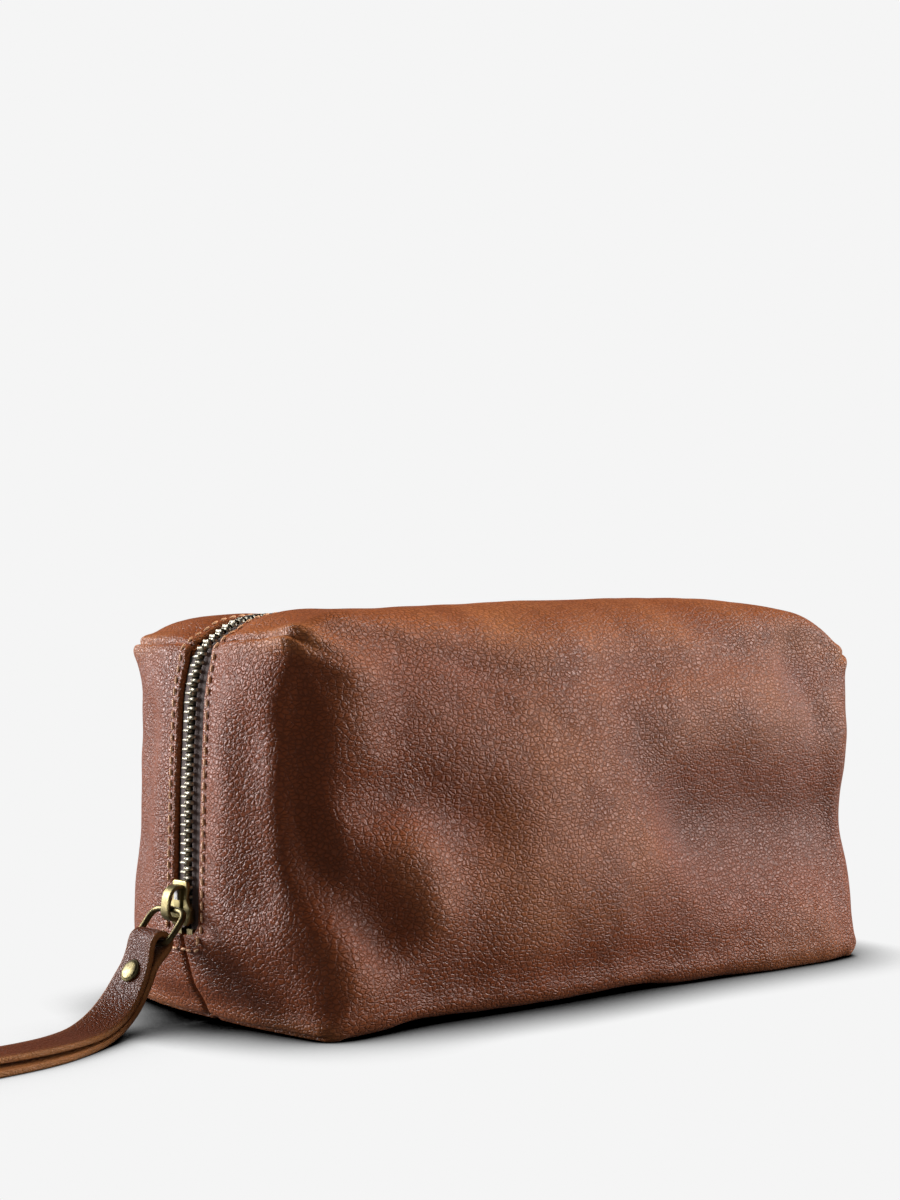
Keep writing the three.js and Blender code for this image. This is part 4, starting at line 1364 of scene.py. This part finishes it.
class SliderOperator(bpy.types.Operator):
    """Make the zip slider with its bridge, and finish the stops and the lock spring"""
    bl_idname = "wash_bag.slider"
    bl_label = "Slider"

    def execute(self, context):
        self.shell()
        self.band()
        for name in ("near_stop_front", "near_stop_back", "far_stop"):
            dress(bpy.data.objects[name], finish_of("aged_brass"))
        dress(bpy.data.objects["slider_lock_spring"], finish_of("spring_wire"))
        return {"FINISHED"}

    def shell(self):
        """Two plates of one outline, joined by a divider, with a rail along each side of the mouth."""
        inner_face = float(-SLIDER_HIGH[0])
        half = float(SLIDER_HIGH[1])
        bottom, top = float(SLIDER_LOW[2]), float(SLIDER_HIGH[2])
        right = [(half * wide, top - (top - bottom) * down) for wide, down in PLATE_EDGE]
        outline = right + [(-y, z) for y, z in reversed(right)]
        divider = [(-1.3, bottom + 0.3), (1.3, bottom + 0.3), (0.9, bottom + 4.6), (-0.9, bottom + 4.6)]
        rail = [(0.60 * half, bottom + 0.4), (0.80 * half, bottom + 1.2),
                (0.84 * half, bottom + 4.4), (0.66 * half, bottom + 4.4)]
        mirrored = [(-y, z) for y, z in reversed(rail)]
        points, faces = joined([
            prism(outline, PLATE_FACE - PLATE, PLATE_FACE),
            prism(outline, inner_face, inner_face + PLATE),
            prism(divider, inner_face + 0.6, PLATE_FACE - 0.6),
            prism(mirrored, PLATE_FACE - 2.2, PLATE_FACE - 0.4),
            prism(rail, PLATE_FACE - 2.2, PLATE_FACE - 0.4)])
        piece = mesh_from("slider_shell", points, faces)
        fix_outwards(piece)
        bevelled(piece, 0.28, 3)
        edge_values(piece)
        finish_metal(piece, "slider", "slider_body")

    def band(self):
        """A flat band that rises from the head of the plate, runs down it and comes in below the ring."""
        box_low, box_high = low("slider_bridge"), high("slider_bridge")
        bottom, top = float(box_low[2]), float(box_high[2])
        reach = float(-box_low[0]) - PLATE_FACE
        steps, around = 40, 16
        centre = []
        for angle in np.linspace(0.0, math.pi, steps + 1):
            upright = np.sign(math.cos(angle)) * abs(math.cos(angle)) ** 0.75
            lean = 0.72 + 0.28 * math.sin(angle / 2) ** 2
            centre.append((max(math.sin(angle), 0.0) ** 0.55 * (reach - 0.6) * lean,
                           (bottom + top) / 2 + upright * (top - bottom - 1.4) / 2))
        ahead = np.gradient(np.array(centre), axis=0)
        ahead /= np.linalg.norm(ahead, axis=1, keepdims=True)
        points = []
        for i, ((out, z), (run_out, run_z)) in enumerate(zip(centre, ahead)):
            half_width = 2.35 - 0.35 * math.sin(math.pi * i / steps)
            for k in range(around):
                turn = 2 * math.pi * (k + 0.5) / around
                across = np.sign(math.cos(turn)) * abs(math.cos(turn)) ** 0.45 * half_width
                through = np.sign(math.sin(turn)) * abs(math.sin(turn)) ** 0.45 * BAND_HALF_THICKNESS
                points.append((-(PLATE_FACE + out - run_z * through), across, z + run_out * through))
        faces = strip_faces(steps + 1, around, close_columns=True)
        faces += [tuple(range(around)), tuple(range((steps + 1) * around - 1, steps * around - 1, -1))]
        ridge = [(-1.15, bottom + 1.8), (1.15, bottom + 1.8), (1.5, (bottom + top) / 2), (1.25, top - 1.2),
                 (-1.25, top - 1.2), (-1.5, (bottom + top) / 2)]
        points, faces = joined([(points, faces), prism(ridge, PLATE_FACE - 0.2, PLATE_FACE + 0.75)])
        piece = mesh_from("slider_band", points, faces)
        fix_outwards(piece)
        bevelled(piece, 0.2, 2)
        edge_values(piece)
        finish_metal(piece, "slider", "slider_bridge")


class RingOperator(bpy.types.Operator):
    """Make the puller ring"""
    bl_idname = "wash_bag.ring"
    bl_label = "Puller ring"

    def execute(self, context):
        pivot, bar = joint_place("ring_swing"), joint_place("strap_swing")
        down = bar - pivot
        half_height = np.linalg.norm(down) / 2
        down = down / np.linalg.norm(down)
        half_width = float(high("pull_ring")[1] - low("pull_ring")[1]) / 2 - RING_WIRE
        across = np.array([0.0, 1.0, 0.0])
        facing = np.cross(across, down)
        around, section = 96, 16

        def outline(angle):
            """An oval flattened where the strap pulls."""
            c, s = math.cos(angle), math.sin(angle)
            return np.array([half_width * np.sign(c) * abs(c) ** 0.5,
                             half_height * np.sign(s) * abs(s) ** 0.5])

        points = []
        for i in range(around):
            angle = 2 * math.pi * (i + 0.5) / around
            ahead = outline(angle + 0.004) - outline(angle - 0.004)
            ahead /= np.linalg.norm(ahead)
            out = np.array([ahead[1], -ahead[0]])
            for k in range(section):
                turn = 2 * math.pi * k / section
                flat = outline(angle) + out * RING_WIRE * math.cos(turn)
                points.append((bar + pivot) / 2 + across * flat[0] + down * flat[1]
                              + facing * RING_WIRE * math.sin(turn))
        faces = strip_faces(around, section, close_rows=True, close_columns=True)
        piece = mesh_from("ring_wire", points, faces)
        fix_outwards(piece)
        finish_metal(piece, "ring", "pull_ring")
        return {"FINISHED"}


# ---------------------------------------------------------------- strap
STRAP_ROUTE = [
    (-142.8, 0.0, 23.9), (-145.6, 0.0, 19.0), (-148.4, -0.3, 14.2), (-152.6, -1.5, 8.8), (-158.4, -4.2, 4.9),
    (-166.0, -8.6, 2.7), (-175.5, -14.0, 2.15), (-187.0, -18.4, 2.15), (-205.0, -20.6, 2.15),
    (-230.0, -21.0, 2.15), (-255.0, -20.6, 2.15), (-276.0, -20.2, 2.15),
]
STRAP_WIDTH = 12.6
STRAP_LAYER = 1.75
RIVET_DISTANCE = 9.5
# The strip's section as (across, through, rawness), in shares of its half width and half thickness.
RAW_FACE = [(-1.0, -0.55, 1.0), (-0.965, -0.93, 0.8), (-0.88, -1.0, 0.55), (-0.5, -1.0, 0.5),
            (0.0, -1.0, 0.5), (0.5, -1.0, 0.5), (0.88, -1.0, 0.55), (0.965, -0.93, 0.8), (1.0, -0.55, 1.0)]
FINISHED_FACE = [(1.0, 0.45, 1.0), (0.97, 0.88, 0.5), (0.9, 1.0, 0.06), (0.5, 1.0, 0.0), (0.0, 1.0, 0.0),
                 (-0.5, 1.0, 0.0), (-0.9, 1.0, 0.06), (-0.97, 0.88, 0.5), (-1.0, 0.45, 1.0)]


def curve_through(points, per_span=24):
    """Centripetal Catmull-Rom points through the given ones."""
    points = np.asarray(points, float)
    ends = np.concatenate([[2 * points[0] - points[1]], points, [2 * points[-1] - points[-2]]])
    made = []
    for i in range(1, len(ends) - 2):
        p0, p1, p2, p3 = ends[i - 1:i + 3]
        t0, t1 = 0.0, np.linalg.norm(p1 - p0) ** 0.5
        t2 = t1 + np.linalg.norm(p2 - p1) ** 0.5
        t3 = t2 + np.linalg.norm(p3 - p2) ** 0.5
        for t in np.linspace(t1, t2, per_span, endpoint=False):
            a1 = (t1 - t) / (t1 - t0) * p0 + (t - t0) / (t1 - t0) * p1
            a2 = (t2 - t) / (t2 - t1) * p1 + (t - t1) / (t2 - t1) * p2
            a3 = (t3 - t) / (t3 - t2) * p2 + (t - t2) / (t3 - t2) * p3
            b1 = (t2 - t) / (t2 - t0) * a1 + (t - t0) / (t2 - t0) * a2
            b2 = (t3 - t) / (t3 - t1) * a2 + (t - t1) / (t3 - t1) * a3
            made.append((t2 - t) / (t2 - t1) * b1 + (t - t1) / (t2 - t1) * b2)
    made.append(points[-1])
    return np.array(made)


class StrapFrame:
    """Places along the strap, by their distance from the ring."""

    def __init__(self):
        self.points = curve_through(STRAP_ROUTE)
        step = np.linalg.norm(np.diff(self.points, axis=0), axis=1)
        self.walked = np.concatenate([[0.0], np.cumsum(step)])
        self.length = float(self.walked[-1])

    def point(self, distance):
        clamped = min(max(distance, 0.0), self.length)
        return np.array([np.interp(clamped, self.walked, self.points[:, k]) for k in range(3)])

    def at(self, distance):
        """Position, direction along the strap, width direction and outward direction."""
        clamped = min(max(distance, 0.0), self.length)
        along = self.point(clamped + 1.0) - self.point(clamped - 1.0)
        along /= np.linalg.norm(along)
        side = np.array([-along[1], along[0], 0.0])
        side /= np.linalg.norm(side)
        return self.point(distance) + along * (distance - clamped), along, side, np.cross(along, side)


def layer_offset(distance):
    """Half the distance between the middles of the two layers."""
    return 1.05 + 1.7 * math.exp(-((distance / 4.2) ** 2)) + 0.25 * smooth(20.0, 60.0, distance)


class StrapOperator(bpy.types.Operator):
    """Make the folded wrist strap"""
    bl_idname = "wash_bag.strap"
    bl_label = "Wrist strap"

    def execute(self, context):
        strap = StrapFrame()
        loop, outer = self.fold(strap.length - 2.0)
        half, thin = STRAP_WIDTH / 2, STRAP_LAYER / 2
        section = RAW_FACE + FINISHED_FACE
        points = []
        for (s, n), (out_s, out_n) in zip(loop, outer):
            # The two layers drift apart sideways towards the far end.
            splay = 2.4 * float(smooth(35.0, 80.0, s)) * (1.0 if n < 0 else -0.3)
            for across, through, _ in section:
                place, _, side, normal = strap.at(s + out_s * through * thin)
                points.append(place + normal * (n + out_n * through * thin) + side * (across * half + splay))
        points = np.array(points)
        points[:, 2] = np.maximum(points[:, 2], 0.05)
        faces = strip_faces(len(loop), len(section), close_rows=True, close_columns=True)
        piece = mesh_from("strap_strip", points, faces)
        across, _, raw = np.array(section).T
        set_values(piece, "raw", np.tile(raw, len(loop)))
        set_values(piece, "worn", np.tile(0.5 * np.abs(across) ** 6, len(loop)))
        set_values(piece, "hollow", np.zeros(len(points)))
        fix_outwards(piece)
        dress(piece, finish_of("strap_hide"))
        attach(piece, "strap")
        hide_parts("wrist_strap")
        return {"FINISHED"}

    def fold(self, far):
        """The middle of the strip, round the ring and round its far end, and which way is out."""
        nose, gap = layer_offset(0.0), layer_offset(far)
        stations = np.arange(1.5, far, 1.6)
        turns = math.pi / 2 + np.linspace(0.0, math.pi, 13)
        middle = [(nose * math.cos(a), nose * math.sin(a)) for a in turns]
        middle += [(s, -layer_offset(s)) for s in stations]
        middle += [(far + gap * math.sin(a), -gap * math.cos(a)) for a in np.linspace(0.1, math.pi - 0.1, 7)]
        middle += [(s, layer_offset(s)) for s in stations[::-1]]
        loop = np.array(middle)
        ahead = np.roll(loop, -1, axis=0) - np.roll(loop, 1, axis=0)
        ahead /= np.linalg.norm(ahead, axis=1, keepdims=True)
        return loop, np.stack([ahead[:, 1], -ahead[:, 0]], axis=1)


class RivetOperator(bpy.types.Operator):
    """Make the rivet that closes the strap's fold"""
    bl_idname = "wash_bag.rivet"
    bl_label = "Rivet"

    def execute(self, context):
        place, along, side, normal = StrapFrame().at(RIVET_DISTANCE)
        axes = np.array([-along, side, normal])
        outer = layer_offset(RIVET_DISTANCE) + STRAP_LAYER / 2
        dome = [(0.0, 0.0), (2.9, 0.0), (3.15, 0.12), (3.3, 0.35), (3.25, 0.6), (3.0, 0.8), (2.6, 0.92)]
        dome += [(2.6 * math.cos(a), 0.92 + 0.42 * math.sin(a))
                 for a in np.linspace(0.25, math.pi / 2 - 0.12, 8)]
        dome += [(0.0, 1.34)]
        end = 2 * outer + 0.5
        shank = [(0.0, 0.0), (2.5, 0.0), (2.75, 0.2), (2.7, 0.5), (2.2, 0.78), (1.2, 0.8), (1.1, 0.82),
                 (1.1, end), (0.0, end)]
        for name, profile, lift, replaced in (("rivet_dome", dome, outer - 0.15, "rivet_cap"),
                                              ("rivet_shank", shank, -outer - 0.75, "rivet_post")):
            points, faces = lathe(profile)
            piece = mesh_from(name, points @ axes + place + normal * lift, faces)
            fix_outwards(piece)
            finish_metal(piece, "strap", replaced)
        return {"FINISHED"}


# ---------------------------------------------------------------- add-on
OPERATORS = [StageOperator, LeatherOperator, LiningOperator, ZipTapeOperator, ZipTeethOperator,
             StitchOperator, SliderOperator, RingOperator, StrapOperator, RivetOperator]


class WashBagPanel(bpy.types.Panel):
    bl_idname = "VIEW3D_PT_wash_bag"
    bl_label = "Wash bag"
    bl_space_type = "VIEW_3D"
    bl_region_type = "UI"
    bl_category = "Wash bag"

    def draw(self, context):
        for group in ("wash_bag_sizes", "wash_bag_stitches", "wash_bag_zip", "wash_bag_finishes"):
            settings = getattr(context.scene, group)
            box = self.layout.box()
            for key in settings.bl_rna.properties.keys():
                if key not in ("rna_type", "name"):
                    box.prop(settings, key)
        for operator in OPERATORS:
            self.layout.operator(operator.bl_idname)


SETTINGS = [(BagSizes, "wash_bag_sizes"), (StitchSizes, "wash_bag_stitches"), (ZipSizes, "wash_bag_zip"),
            (Finishes, "wash_bag_finishes")]


def register():
    for group, name in SETTINGS:
        bpy.utils.register_class(group)
        setattr(bpy.types.Scene, name, PointerProperty(type=group))
    for operator in OPERATORS:
        bpy.utils.register_class(operator)
    bpy.utils.register_class(WashBagPanel)


def unregister():
    bpy.utils.unregister_class(WashBagPanel)
    for operator in reversed(OPERATORS):
        bpy.utils.unregister_class(operator)
    for group, name in reversed(SETTINGS):
        delattr(bpy.types.Scene, name)
        bpy.utils.unregister_class(group)


def main():
    register()
    for operator in OPERATORS:
        group, name = operator.bl_idname.split(".")
        getattr(getattr(bpy.ops, group), name)()
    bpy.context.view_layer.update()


if __name__ == "__main__":
    main()
